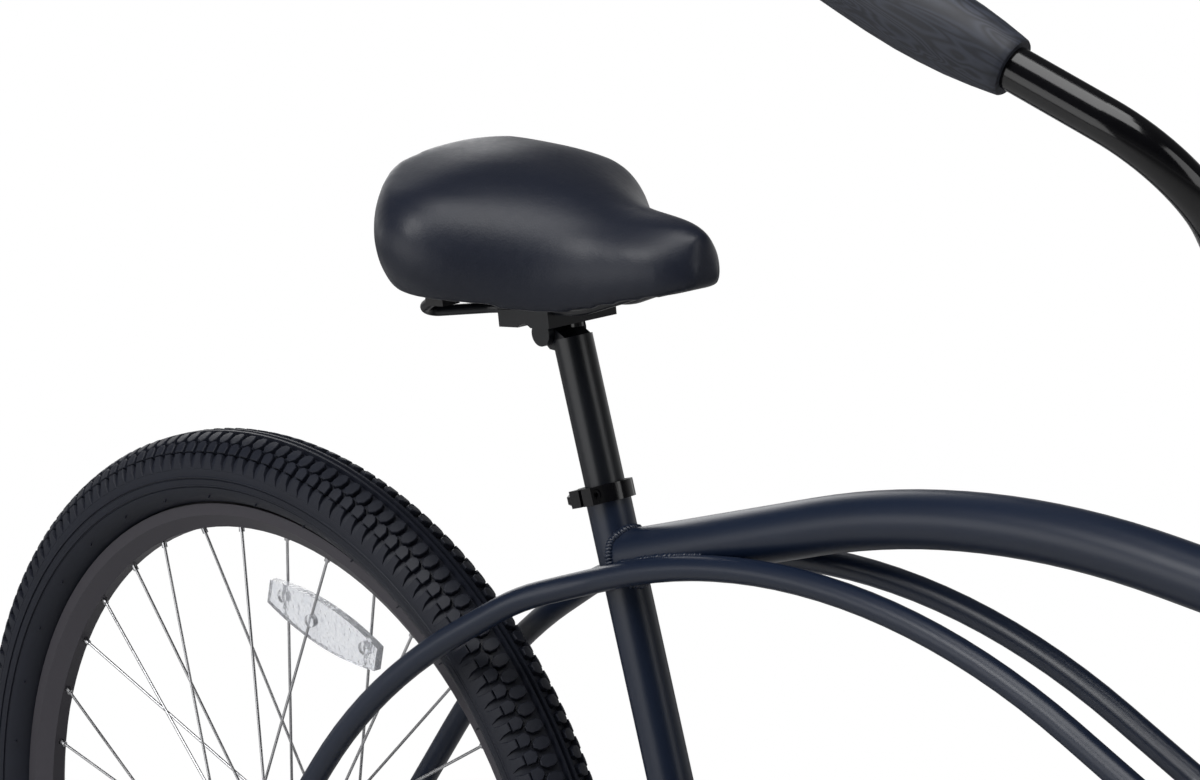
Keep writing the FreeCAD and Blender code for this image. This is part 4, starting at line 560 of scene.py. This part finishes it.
def tyre_outline(radius, half_width):
    """The outside of a balloon tyre from its bead over the sidewall to the crown."""
    bead, flank, widest, upper_flank, shoulder = [(radius * r, half_width * w) for r, w in TYRE_PLACES]
    points = arc(bead, flank, widest, FLANK_STEPS)
    points += arc(widest, upper_flank, shoulder, FLANK_STEPS)[1:]
    points += arc(shoulder, (radius, 0.0), (shoulder[0], -shoulder[1]), CROWN_STEPS)[1 : CROWN_STEPS // 2 + 1]
    return Outline(points)


def casing_line(outline, edge, tyre):
    """Distance and depth of the casing's points from bead to crown: lined sidewall, sunken tread, rib."""
    line = []
    total = outline.along[-1]
    tip = edge - tyre.lug_length
    radius = outline.points[-1][0]
    lines = [outline.where_radius(radius * share) for share in SIDEWALL_LINES]
    for k in range(SIDEWALL_STEPS + 1):
        here = tip * k / SIDEWALL_STEPS
        if all(abs(here - at) > LINE_CLEARANCE for at in lines):
            line.append((here, 0.0))
    for at in lines:
        line += [(at + step * MM, depth * MM) for step, depth in LINE_SECTION]
    line.sort()
    groove = tyre.tread_depth
    line += [(tip + (edge - tip) * k / LUG_STEPS, groove * k / LUG_STEPS) for k in range(1, LUG_STEPS + 1)]
    low, high = (edge + place * MM for place in RIB_PLACES)
    line += [(edge + (low - edge) * k / LUG_STEPS, groove) for k in range(1, LUG_STEPS)]
    line += [(low - RIB_SLOPE, groove), (low, RIB_DEPTH), (high, RIB_DEPTH), (high + RIB_SLOPE, groove)]
    if high + RIB_ROOM < total:
        line.append((total, groove))
    return line


def tyre_pitch(bm, outline, tyre):
    """One pitch of a tyre about the Y axis: a slice of the casing and the tread blocks that stand on it."""
    pitch = math.tau / tyre.lug_count
    edge = outline.where_radius(outline.points[-1][0] * SHOULDER_RADIUS_SHARE)

    def spot(turn, distance, depth, side):
        radius, across, out_radius, out_across = outline.at(distance)
        radius -= out_radius * depth
        across -= out_across * depth
        return Vector((radius * math.cos(turn), side * across, radius * math.sin(turn)))

    half = casing_line(outline, edge, tyre)
    ring = [(distance, depth, 1) for distance, depth in half]
    ring += [(distance, depth, -1) for distance, depth in reversed(half[:-1])]
    inner = [(distance, tyre.wall + tyre.tread_depth) for distance, _ in half[:: len(half) // INNER_STEPS]]
    ring += [(distance, depth, -1) for distance, depth in inner]
    ring += [(distance, depth, 1) for distance, depth in reversed(inner)]
    slices = [[bm.verts.new(spot(turn, *place)) for place in ring] for turn in (-pitch / 2, pitch / 2)]
    for k in range(len(ring)):
        after = (k + 1) % len(ring)
        bm.faces.new((slices[0][k], slices[1][k], slices[1][after], slices[0][after]))
    crown = max(bm.faces, key=lambda f: f.calc_center_median().x)
    crown.normal_update()
    if crown.normal.x < 0:
        bmesh.ops.reverse_faces(bm, faces=bm.faces[:])
    for side in (1, -1):
        for block in (SHOULDER_BLOCK, CROWN_BLOCK, SIDE_LUG):
            tread_block(bm, block, lambda u, v, depth: spot(u * pitch, edge + v * MM, depth, side), tyre)


def tread_block(bm, block, spot, tyre):
    """A block with a bevelled top on the tyre's surface and walls down into the casing."""
    middle_u = sum(u for u, _ in block) / len(block)
    middle_v = sum(v for _, v in block) / len(block)

    def grown(scale, depth_of):
        around = [(middle_u + (u - middle_u) * scale, middle_v + (v - middle_v) * scale) for u, v in block]
        return [bm.verts.new(spot(u, v, depth_of(v))) for u, v in around]

    def floor(v):
        share = 1.0 if v >= 0 else max(0.0, 1 + v * MM / tyre.lug_length)
        return tyre.tread_depth * share + BLOCK_SINK

    heights = ((BLOCK_TOP, lambda v: 0.0), (BLOCK_EDGE, lambda v: BLOCK_BEVEL), (BLOCK_FOOT, floor))
    rings = [grown(scale, depth_of) for scale, depth_of in heights]
    top = bm.verts.new(spot(middle_u, middle_v, -BLOCK_CROWN))
    bottom = bm.verts.new(spot(middle_u, middle_v, floor(middle_v)))
    faces = []
    count = len(block)
    for k in range(count):
        after = (k + 1) % count
        faces.append(bm.faces.new((top, rings[0][k], rings[0][after])))
        faces.append(bm.faces.new((bottom, rings[2][after], rings[2][k])))
        for upper, lower in zip(rings, rings[1:]):
            faces.append(bm.faces.new((upper[k], lower[k], lower[after], upper[after])))
    bmesh.ops.recalc_face_normals(bm, faces=faces)


def vent_nibs(bm, outline):
    """A moulding nib on each sidewall: a short six-sided pin."""
    radius, across, out_radius, out_across = outline.at(
        outline.where_radius(outline.points[-1][0] * VENT_RADIUS_SHARE)
    )
    for side in (1, -1):
        out = Vector((out_radius, side * out_across, 0))
        lean = out.to_track_quat("Z", "Y").to_matrix().to_4x4()
        bmesh.ops.create_cone(bm, cap_ends=True, segments=6, radius1=VENT_FOOT_R, radius2=VENT_TIP_R,
                              depth=VENT_LENGTH, matrix=Matrix.Translation((radius, side * across, 0)) @ lean)


# Two points nearer than this are one: slices of a tyre, ends of a weld line, and corners of loose triangles
SAME_POINT = 0.01 * MM
SAME_CORNER = 0.02 * MM


def shape_tree(name, inputs):
    """An empty geometry tree with its geometry in and out, its named inputs and a material."""
    tree = bpy.data.node_groups.new(name, "GeometryNodeTree")
    for label, kind in {"Geometry": "Geometry", **inputs, "Material": "Material"}.items():
        tree.interface.new_socket(label, in_out="INPUT", socket_type="NodeSocket" + kind)
    tree.interface.new_socket("Geometry", in_out="OUTPUT", socket_type="NodeSocketGeometry")
    return tree


def axle_tree():
    """A node tree that repeats a pitch evenly about the Y axis and joins the slices into one mesh."""
    tree = shape_tree("Repeat round the axle", {"Count": "Int"})
    inputs = add(tree, "NodeGroupInput")
    points = add(tree, "GeometryNodeMeshLine", {"Count": (inputs, "Count"), "Offset": (0, 0, 0)})
    index = add(tree, "GeometryNodeInputIndex")
    step = add(tree, "ShaderNodeMath", {0: math.tau, 1: (inputs, "Count")}, operation="DIVIDE")
    turn = add(tree, "ShaderNodeMath", {0: (index, "Index"), 1: (step, "Value")}, operation="MULTIPLY")
    rotation = add(tree, "ShaderNodeCombineXYZ", {"Y": (turn, "Value")})
    copies = add(tree, "GeometryNodeInstanceOnPoints", {
        "Points": (points, "Mesh"), "Instance": (inputs, "Geometry"), "Rotation": (rotation, "Vector"),
    })
    real = add(tree, "GeometryNodeRealizeInstances", {"Geometry": (copies, "Instances")})
    joined = add(tree, "GeometryNodeMergeByDistance", {
        "Geometry": (real, "Geometry"), "Distance": SAME_POINT,
    })
    finished = add(tree, "GeometryNodeSetMaterial", {
        "Geometry": (joined, "Geometry"), "Material": (inputs, "Material"),
    })
    add(tree, "NodeGroupOutput", {"Geometry": (finished, "Geometry")})
    return tree


# A ripple's size against the bead's, at least and at most, and its shape: flattened along the weld
RIPPLE_LEAST, RIPPLE_MOST = 0.88, 1.14
RIPPLE_SHAPE = (1.0, 1.0, 0.62)


def ripple_tree():
    """A node tree that sets overlapping ripples along a line, as a welder's torch leaves them."""
    tree = shape_tree("Ripples along a weld", {"Spacing": "Float", "Bead radius": "Float"})
    inputs = add(tree, "NodeGroupInput")
    curve = add(tree, "GeometryNodeMeshToCurve", {"Mesh": (inputs, "Geometry")})
    points = add(tree, "GeometryNodeCurveToPoints", {
        "Curve": (curve, "Curve"), "Length": (inputs, "Spacing"),
    }, mode="LENGTH")
    ripple = add(tree, "GeometryNodeMeshUVSphere", {
        "Segments": 10, "Rings": 6, "Radius": (inputs, "Bead radius"),
    })
    uneven = add(tree, "FunctionNodeRandomValue", {
        2: RIPPLE_LEAST, 3: RIPPLE_MOST, "Seed": 7,
    }, data_type="FLOAT")
    flat = add(tree, "ShaderNodeVectorMath", {0: RIPPLE_SHAPE, "Scale": (uneven, 1)}, operation="SCALE")
    copies = add(tree, "GeometryNodeInstanceOnPoints", {
        "Points": (points, "Points"), "Instance": (ripple, "Mesh"), "Rotation": (points, "Rotation"),
        "Scale": (flat, "Vector"),
    })
    real = add(tree, "GeometryNodeRealizeInstances", {"Geometry": (copies, "Instances")})
    finished = add(tree, "GeometryNodeSetMaterial", {
        "Geometry": (real, "Geometry"), "Material": (inputs, "Material"),
    })
    add(tree, "NodeGroupOutput", {"Geometry": (finished, "Geometry")})
    return tree


def merged_copy(node):
    """A bmesh of a CAD node with its loose triangles joined."""
    bm = bmesh.new()
    bm.from_mesh(frame["nodes"][node].data)
    bmesh.ops.remove_doubles(bm, verts=bm.verts[:], dist=SAME_CORNER)
    return bm


# How near a tube's corner is to what it touches, the fewest corners of a joint, and the points of its line
TOUCHING = 0.5 * MM
FEWEST_CORNERS = 12
MITRE_POINTS = 40


def mitre_loop(tube, carrier):
    """The outer edge of a tube's end where it meets the piece that carries it, in order round the tube."""
    bm = merged_copy(tube)
    other = merged_copy(carrier)
    tree = BVHTree.FromBMesh(other)
    touching = [v.co.copy() for v in bm.verts if tree.find_nearest(v.co, TOUCHING)[0] is not None]
    whole = sum((v.co for v in bm.verts), Vector()) / len(bm.verts)
    bm.free()
    other.free()
    if len(touching) < FEWEST_CORNERS:
        raise RuntimeError(f"{tube} does not meet {carrier}")
    centre = sum(touching, Vector()) / len(touching)
    axis = (whole - centre).normalized()
    across = axis.orthogonal().normalized()
    upright = axis.cross(across)
    furthest = {}
    for co in touching:
        out = co - centre
        out -= axis * out.dot(axis)
        turn = (math.atan2(out.dot(upright), out.dot(across)) + math.pi) / math.tau
        spot = int(turn * MITRE_POINTS) % MITRE_POINTS
        if spot not in furthest or out.length > furthest[spot][0]:
            furthest[spot] = (out.length, co)
    return [furthest[k][1] for k in sorted(furthest)]


def section_centre(node, x):
    """The middle of a tube where an upright plane across the bicycle cuts it."""
    mesh = frame["nodes"][node].data
    spots = []
    for edge in mesh.edges:
        a, b = (mesh.vertices[k].co for k in edge.vertices)
        if (a.x - x) * (b.x - x) < 0:
            spots.append(a.lerp(b, (x - a.x) / (b.x - a.x)))
    low = Vector([min(p[k] for p in spots) for k in range(3)])
    high = Vector([max(p[k] for p in spots) for k in range(3)])
    return (low + high) / 2


# Where one frame piece ends on another: the tube, then what carries it
MITRES = (
    ("top_tube", "head_tube"), ("down_tube", "head_tube"), ("down_tube", "bottom_bracket_shell"),
    ("seat_tube", "bottom_bracket_shell"), ("chainstay_left", "bottom_bracket_shell"),
    ("chainstay_right", "bottom_bracket_shell"), ("twin_tube_left", "down_tube"),
    ("twin_tube_right", "down_tube"),
)
# The top tube's end on the seat tube: its centre, the seat tube's axis, the way ahead, the tubes' radii, and
# how far ahead of the axis the end's two ears are trimmed
SEAT_JOINT = Vector((-0.23119, 0, 0.6566))
SEAT_AXIS = Vector((-0.311506, 0, 0.950244))
AHEAD = Vector((0.950244, 0, 0.311506))
SEAT_TUBE_R = 0.0143
TOP_TUBE_R = 0.01745
TWIN_TUBE_R = 0.00795
EAR_TRIM = 0.008
SEAT_JOINT_POINTS = 48
# The weld along a side tube: how far ahead of the seat joint it starts, its step and its most points
SIDE_WELD_START = 0.016
SIDE_WELD_STEP = 0.005
SIDE_WELD_POINTS = 16


def seat_joint_loop():
    """The line round the top tube's trimmed end on the seat tube."""
    loop = []
    for k in range(SEAT_JOINT_POINTS):
        turn = math.tau * k / SEAT_JOINT_POINTS
        across = TOP_TUBE_R * math.cos(turn)
        reach = math.sqrt(max(SEAT_TUBE_R**2 - across**2, 0.0))
        ahead = AHEAD * max(reach, EAR_TRIM)
        loop.append(SEAT_JOINT + ahead + Vector((0, across, 0)) + SEAT_AXIS * (TOP_TUBE_R * math.sin(turn)))
    return loop


def side_tube_line(side, up):
    """The line along which a side tube sinks into the main tube, above or below it."""
    line = []
    for k in range(SIDE_WELD_POINTS):
        x = SEAT_JOINT.x + SIDE_WELD_START + SIDE_WELD_STEP * k
        main, twin = section_centre("top_tube", x), section_centre("twin_tube_" + side, x)
        gap = twin - main
        apart = gap.length
        if apart >= TOP_TUBE_R + TWIN_TUBE_R:
            continue
        along = (apart**2 + TOP_TUBE_R**2 - TWIN_TUBE_R**2) / (2 * apart)
        rise = math.sqrt(max(TOP_TUBE_R**2 - along**2, 0.0))
        toward = gap / apart
        square = Vector((0, -toward.z, toward.y))
        if (square.z > 0) != up:
            square.negate()
        line.append(main + toward * along + square * rise)
    return line


def weld_lines(bm):
    """Closed lines round each mitred tube end, and open ones where the side tubes lie along the main tube."""
    loops = [mitre_loop(tube, carrier) for tube, carrier in MITRES] + [seat_joint_loop()]
    lines = [loop + loop[:1] for loop in loops]
    lines += [side_tube_line(side, up) for side in ("left", "right") for up in (True, False)]
    for line in lines:
        spots = [bm.verts.new(co) for co in line]
        for a, b in zip(spots, spots[1:]):
            bm.edges.new((a, b))
    bmesh.ops.remove_doubles(bm, verts=bm.verts[:], dist=SAME_POINT)


class CRUISER_OT_finishes(bpy.types.Operator):
    """Give each CAD piece the finish of its material slot"""

    bl_idname = "cruiser.finishes"
    bl_label = "Finishes"

    def execute(self, context):
        for row in frame["record"]["subparts"]:
            node = frame["nodes"][row["node"]]
            node.data.materials.clear()
            node.data.materials.append(finish(row["material_slot"]))
        return {"FINISHED"}


class CRUISER_OT_tyres(bpy.types.Operator):
    """Build both tyres with their tread"""

    bl_idname = "cruiser.tyres"
    bl_label = "Tyres"

    def execute(self, context):
        tyre = settings().tyre
        tree = axle_tree()
        for end in ("rear", "front"):
            low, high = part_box(end + "_tyre")
            outline = tyre_outline((high.x - low.x) / 2, (high.y - low.y) / 2)
            pitch = mesh_of(end + "_tyre_pitch", lambda bm: tyre_pitch(bm, outline, tyre))
            piece = new_piece(end + "_tyre_tread", pitch, "tyre")
            made = run_tree(piece, tree, {"Count": tyre.lug_count, "Material": finish("tyre")})
            nib = new_piece("vent", mesh_of("vent", lambda bm: vent_nibs(bm, outline)), "tyre")
            nibs = run_tree(nib, tree, {"Count": VENT_COUNT, "Material": finish("tyre")})
            bpy.data.objects.remove(nib)
            append_mesh(made, nibs)
            made.transform(Matrix.Translation((low + high) / 2))
            smooth_by_angle(made, TREAD_CREASE)
            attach(piece, end + "_wheel")
            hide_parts(end + "_tyre")
        return {"FINISHED"}


class CRUISER_OT_welds(bpy.types.Operator):
    """Lay the weld beads of the frame"""

    bl_idname = "cruiser.welds"
    bl_label = "Weld beads"

    def execute(self, context):
        weld = settings().weld
        piece = new_piece("frame_weld_beads", mesh_of("weld_lines", weld_lines), "frame_paint")
        made = run_tree(piece, ripple_tree(), {
            "Spacing": weld.ripple_spacing, "Bead radius": weld.bead_radius,
            "Material": finish("frame_paint"),
        })
        smooth_by_angle(made, BEAD_CREASE)
        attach(piece, "frame")
        return {"FINISHED"}


# The cushion's floor is where it faces down at least this much
FLOOR_NORMAL = -0.75
# The cover as cloth: the simulation's quality, the cover's mass and the steps that inflate it
COVER_QUALITY = 4
COVER_MASS = 0.25
INFLATION_STEPS = 20


def stuffed(piece, saddle):
    """Inflates the cushion with cloth pressure, holding its floor, and caps how far each point moves."""
    mesh = piece.data
    before = [v.co.copy() for v in mesh.vertices]
    floor = piece.vertex_groups.new(name="floor")
    floor.add([v.index for v in mesh.vertices if v.normal.z < FLOOR_NORMAL], 1.0, "REPLACE")
    cloth = piece.modifiers.new("Cover", "CLOTH")
    cloth.settings.quality = COVER_QUALITY
    cloth.settings.mass = COVER_MASS
    cloth.settings.use_pressure = True
    cloth.settings.uniform_pressure_force = saddle.pressure
    cloth.settings.vertex_group_mass = "floor"
    cloth.settings.effector_weights.gravity = 0.0
    for step in range(INFLATION_STEPS):
        bpy.context.scene.frame_set(step + 1)
    made = plain_mesh(piece)
    for vertex, start in zip(made.vertices, before):
        move = vertex.co - start
        if move.length > saddle.swell_limit:
            vertex.co = start + move * (saddle.swell_limit / move.length)
    bpy.context.scene.frame_set(1)
    piece.vertex_groups.clear()


# A smoothing step and the step back that keeps the cushion's size, and how often the pair is run
ROUNDING_PAIR = (0.6, -0.63)
ROUNDING_COUNT = 30
# How much smaller the cushion starts, as a share of its swell, and the smoothing that settles it afterwards
SHRINK_SHARE = 0.5
SETTLE_FACTOR = 0.5
SETTLE_COUNT = 2


class CRUISER_OT_saddle(bpy.types.Operator):
    """Stretch the vinyl cover over the saddle's foam"""

    bl_idname = "cruiser.saddle"
    bl_label = "Saddle cover"

    def execute(self, context):
        saddle = settings().saddle
        bm = merged_copy("saddle_pad")
        mesh = bpy.data.meshes.new("saddle_cover")
        bm.to_mesh(mesh)
        bm.free()
        piece = new_piece("saddle_cover", mesh, "saddle_vinyl")
        grid = piece.modifiers.new("Even grid", "REMESH")
        grid.mode = "VOXEL"
        grid.voxel_size = saddle.voxel
        for factor in ROUNDING_PAIR * ROUNDING_COUNT:
            piece.modifiers.new("Rounded", "SMOOTH").factor = factor
        shrunk = piece.modifiers.new("Shrunk", "DISPLACE")
        shrunk.strength = -saddle.swell_limit * SHRINK_SHARE
        shrunk.mid_level = 0.0
        plain_mesh(piece)
        stuffed(piece, saddle)
        settled = piece.modifiers.new("Settled", "SMOOTH")
        settled.factor = SETTLE_FACTOR
        settled.iterations = SETTLE_COUNT
        fine = piece.modifiers.new("Fine", "SUBSURF")
        fine.levels = fine.render_levels = 1
        made = plain_mesh(piece)
        made.shade_smooth()
        made.materials.clear()
        made.materials.append(finish("saddle_vinyl"))
        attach(piece, "saddle")
        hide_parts("saddle_pad")
        return {"FINISHED"}


# The grip's swell from the bar's side: share of its length, and radius in millimetres
GRIP_SWELL = (
    (0.0, 11.3), (0.0, 14.4), (0.006, 15.0), (0.03, 15.6), (0.11, 17.3), (0.21, 18.9), (0.32, 19.8),
    (0.42, 20.1), (0.55, 19.6), (0.68, 18.5), (0.80, 17.3), (0.90, 16.6), (0.95, 16.0), (0.985, 13.6),
    (1.0, 9.0),
)
GRIP_SIDES = 48
GRIP_LENGTH = 0.136
# The left end of the bar and the way the bar runs out to it, and how far the grip reaches back from that end
BAR_END = Vector((0.17686, 0.2793, 1.1145))
BAR_RUN = Vector((-0.208, 0.0503, 0.0887)).normalized()
GRIP_REACH = 0.131
MIRROR = Vector((1, -1, 1))


def grip_mesh(side):
    """A palm-swell grip on the end of the bar, with each point's place along and across the grip kept."""
    lean, bar_end = BAR_RUN, BAR_END
    if side == "right":
        lean, bar_end = lean * MIRROR, bar_end * MIRROR
    across = Vector((0, 0, 1)).cross(lean).normalized()
    upright = lean.cross(across)
    start = bar_end - lean * GRIP_REACH
    mesh = bpy.data.meshes.new("grip_sleeve_" + side)
    bm = bmesh.new()
    layer = bm.verts.layers.float_vector.new("along_grip")
    rings = []
    for share, radius in GRIP_SWELL:
        ring = []
        for k in range(GRIP_SIDES):
            turn = math.tau * k / GRIP_SIDES
            flat = Vector((math.cos(turn), math.sin(turn))) * radius * MM
            vertex = bm.verts.new(start + lean * (share * GRIP_LENGTH) + across * flat.x + upright * flat.y)
            vertex[layer] = (flat.x, flat.y, share * GRIP_LENGTH)
            ring.append(vertex)
        rings.append(ring)
    tip = bm.verts.new(start + lean * GRIP_LENGTH)
    tip[layer] = (0, 0, GRIP_LENGTH)
    for a, b in zip(rings, rings[1:]):
        for k in range(GRIP_SIDES):
            bm.faces.new((a[k], a[(k + 1) % GRIP_SIDES], b[(k + 1) % GRIP_SIDES], b[k]))
    for k in range(GRIP_SIDES):
        bm.faces.new((rings[-1][k], rings[-1][(k + 1) % GRIP_SIDES], tip))
    bm.faces.new(list(reversed(rings[0])))
    bmesh.ops.recalc_face_normals(bm, faces=bm.faces[:])
    bm.to_mesh(mesh)
    bm.free()
    return mesh


class CRUISER_OT_grips(bpy.types.Operator):
    """Slide the swirled grips on the bar"""

    bl_idname = "cruiser.grips"
    bl_label = "Grips"

    def execute(self, context):
        for side in ("left", "right"):
            piece = new_piece("grip_sleeve_" + side, grip_mesh(side), "grip_rubber")
            smooth_by_angle(piece.data, GRIP_CREASE)
            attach(piece, "handlebar")
            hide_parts("grip_" + side)
        return {"FINISHED"}


# The camera's place, its look down and round in degrees, its sensor in millimetres and how far it sees
EYE = (1.5857, -1.7550, 1.4141)
LOOK_DOWN = 14.412
LOOK_ROUND = 46.296
SENSOR_WIDTH = 36.0
SIGHT = 60.0
# The level direction in which the camera looks
AWAY = (-0.723, 0.691, 0.0)
# The floor's half length and its gap under the tyres
FLOOR_REACH = 14.0
FLOOR_GAP = 0.5 * MM
# How far out the floor turns white to the eye, and in a mirror image, where it does so only beyond the lamps
WHITE_SEEN = {"From Min": 0.7, "From Max": 1.3}
WHITE_MIRRORED = {"From Min": 4.0, "From Max": 8.0}
# Mirror images show the studio dark behind the camera, which keeps the faces turned to it deep
FLOOR_LIT = {"From Min": -2.0, "From Max": 3.0, "To Min": 0.15}
WALL_LIT = {"From Min": -0.4, "From Max": 0.5, "To Min": 0.15}
# They show the wall paler at the floor than overhead
WALL_FADE = {"From Min": 0.0, "From Max": 0.3, "To Min": 0.5, "To Max": 0.06}
WHITE = (1, 1, 1, 1)
# Lamps: name, place, height aimed at (none for the bicycle's middle), width, height, share of the side power
SIDE_LAMPS = (
    ("left softbox", (-0.9, -2.4, 2.7), None, 1.3, 1.2, 0.7),
    ("low left panel", (-0.9, -2.5, 0.85), 0.85, 2.8, 1.3, 0.35),
    ("right softbox", (2.4, 0.5, 1.7), None, 1.2, 1.7, 0.22),
    ("rear softbox", (-2.6, 1.3, 1.4), None, 1.2, 1.2, 0.2),
)


def floor_material():
    """A painted pale floor that shows pure white away from the bicycle and keeps its shadow under it."""
    material, tree, shader = fresh_material("painted_floor_white")
    shader.inputs["Base Color"].default_value = tone("c4c4c4")
    shader.inputs["Roughness"].default_value = 0.9
    place = add(tree, "ShaderNodeTexCoord")
    reach = add(tree, "ShaderNodeVectorMath", {0: (place, "Object")}, operation="LENGTH")
    near = add(tree, "ShaderNodeMapRange", {"Value": (reach, "Value"), **WHITE_SEEN},
               interpolation_type="SMOOTHSTEP")
    far = add(tree, "ShaderNodeMapRange", {"Value": (reach, "Value"), **WHITE_MIRRORED},
              interpolation_type="SMOOTHSTEP")
    path = add(tree, "ShaderNodeLightPath")
    seen = add(tree, "ShaderNodeMath", {0: (path, "Is Camera Ray"), 1: (path, "Is Transmission Ray")},
               operation="MAXIMUM")
    direct = add(tree, "ShaderNodeMath", {0: (seen, "Value"), 1: (near, "Result")}, operation="MULTIPLY")
    beyond = add(tree, "ShaderNodeVectorMath", {0: (place, "Object"), 1: AWAY}, operation="DOT_PRODUCT")
    lit = add(tree, "ShaderNodeMapRange", {"Value": (beyond, "Value"), **FLOOR_LIT},
              interpolation_type="SMOOTHSTEP")
    white_part = add(tree, "ShaderNodeMath", {0: (far, "Result"), 1: (lit, "Result")}, operation="MULTIPLY")
    mirrored = add(tree, "ShaderNodeMath", {0: (path, "Is Glossy Ray"), 1: (white_part, "Value")},
                   operation="MULTIPLY")
    share = add(tree, "ShaderNodeMath", {0: (direct, "Value"), 1: (mirrored, "Value")}, operation="MAXIMUM")
    white = add(tree, "ShaderNodeEmission", {"Color": WHITE, "Strength": 1.0})
    mix = add(tree, "ShaderNodeMixShader", {
        "Fac": (share, "Value"), 1: (shader, "BSDF"), 2: (white, "Emission"),
    })
    output = next(n for n in tree.nodes if n.type == "OUTPUT_MATERIAL")
    tree.links.new(mix.outputs["Shader"], output.inputs["Surface"])
    return material


def studio_world(stage):
    """A white room to the eye, dimmer overhead and behind the camera, with a soft light on the bicycle."""
    world = bpy.data.worlds.new("white studio")
    bpy.context.scene.world = world
    world.use_nodes = True
    tree = world.node_tree
    tree.nodes.clear()
    path = add(tree, "ShaderNodeLightPath")
    place = add(tree, "ShaderNodeTexCoord")
    height = add(tree, "ShaderNodeSeparateXYZ", {"Vector": (place, "Generated")})
    wall = add(tree, "ShaderNodeMapRange", {"Value": (height, "Z"), **WALL_FADE},
               interpolation_type="SMOOTHSTEP")
    beyond = add(tree, "ShaderNodeVectorMath", {0: (place, "Generated"), 1: AWAY}, operation="DOT_PRODUCT")
    lit = add(tree, "ShaderNodeMapRange", {"Value": (beyond, "Value"), **WALL_LIT},
              interpolation_type="SMOOTHSTEP")
    backdrop = add(tree, "ShaderNodeMath", {0: (wall, "Result"), 1: (lit, "Result")}, operation="MULTIPLY")
    seen = add(tree, "ShaderNodeMath", {0: (path, "Is Glossy Ray"), 1: (path, "Is Transmission Ray")},
               operation="MAXIMUM")
    dimmed = add(tree, "ShaderNodeMix", {
        "Factor": (seen, "Value"), 2: stage.fill_light, 3: (backdrop, "Value"),
    }, data_type="FLOAT")
    strength = add(tree, "ShaderNodeMath", {0: (dimmed, 0), 1: (path, "Is Camera Ray")}, operation="MAXIMUM")
    back = add(tree, "ShaderNodeBackground", {"Color": WHITE, "Strength": (strength, "Value")})
    add(tree, "ShaderNodeOutputWorld", {"Surface": (back, "Background")})


def softbox(name, place, target, width, height, power):
    """A rectangular lamp turned towards a point."""
    lamp = bpy.data.lights.new(name, "AREA")
    lamp.shape = "RECTANGLE"
    lamp.size, lamp.size_y = width, height
    lamp.energy = power
    holder = bpy.data.objects.new(name, lamp)
    holder.location = place
    holder.rotation_euler = (Vector(target) - Vector(place)).to_track_quat("-Z", "Y").to_euler()
    bpy.context.scene.collection.objects.link(holder)


class CRUISER_OT_stage(bpy.types.Operator):
    """Set the floor, lamps and camera"""

    bl_idname = "cruiser.stage"
    bl_label = "Stage"

    def execute(self, context):
        stage = settings().stage
        grid = {"x_segments": 1, "y_segments": 1, "size": FLOOR_REACH}
        mesh = mesh_of("floor", lambda bm: bmesh.ops.create_grid(bm, **grid))
        floor = bpy.data.objects.new("floor", mesh)
        context.scene.collection.objects.link(floor)
        floor.location.z = CAD_BOX[0].z - FLOOR_GAP
        mesh.materials.append(floor_material())
        studio_world(stage)
        middle = (CAD_BOX[0] + CAD_BOX[1]) / 2
        softbox("overhead softbox", (0.35, -0.55, 3.0), middle, 2.2, 1.8, stage.key_power)
        for name, place, target_height, width, height, share in SIDE_LAMPS:
            target = (middle.x, middle.y, target_height or middle.z)
            softbox(name, place, target, width, height, stage.side_power * share)
        lens = bpy.data.cameras.new("camera")
        lens.sensor_width = SENSOR_WIDTH
        lens.lens = stage.lens
        lens.clip_end = SIGHT
        camera = bpy.data.objects.new("camera", lens)
        camera.location = EYE
        camera.rotation_euler = (math.radians(90 - LOOK_DOWN), 0, math.radians(LOOK_ROUND))
        context.scene.collection.objects.link(camera)
        context.scene.camera = camera
        context.scene.view_settings.view_transform = "Standard"
        return {"FINISHED"}


class CRUISER_PT_looks(bpy.types.Panel):
    """Lists the settings and the steps that build the bicycle's looks"""

    bl_idname = "CRUISER_PT_looks"
    bl_label = "Beach cruiser"
    bl_space_type = "VIEW_3D"
    bl_region_type = "UI"
    bl_category = "Cruiser"

    def draw(self, context):
        layout = self.layout
        cruiser = context.scene.cruiser
        for part in (cruiser.colours, cruiser.tyre, cruiser.weld, cruiser.saddle, cruiser.stage):
            box = layout.box()
            for name in part.bl_rna.properties.keys():
                if name not in ("rna_type", "name"):
                    box.prop(part, name)
        for step in STEPS:
            layout.operator(step.bl_idname)


STEPS = (CRUISER_OT_finishes, CRUISER_OT_tyres, CRUISER_OT_welds, CRUISER_OT_saddle, CRUISER_OT_grips,
         CRUISER_OT_stage)
CLASSES = (ColourSettings, TyreSettings, WeldSettings, SaddleSettings, StageSettings, CruiserSettings, *STEPS,
           CRUISER_PT_looks)


def register():
    """Adds the settings, the steps and the panel to Blender."""
    for cls in CLASSES:
        bpy.utils.register_class(cls)
    bpy.types.Scene.cruiser = bpy.props.PointerProperty(type=CruiserSettings)


def unregister():
    """Takes them out again."""
    del bpy.types.Scene.cruiser
    for cls in reversed(CLASSES):
        bpy.utils.unregister_class(cls)


def main():
    """Builds the bicycle's looks."""
    register()
    bpy.ops.cruiser.finishes()
    bpy.ops.cruiser.tyres()
    bpy.ops.cruiser.welds()
    bpy.ops.cruiser.saddle()
    bpy.ops.cruiser.grips()
    bpy.ops.cruiser.stage()
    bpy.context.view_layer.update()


if __name__ == "__main__":
    main()
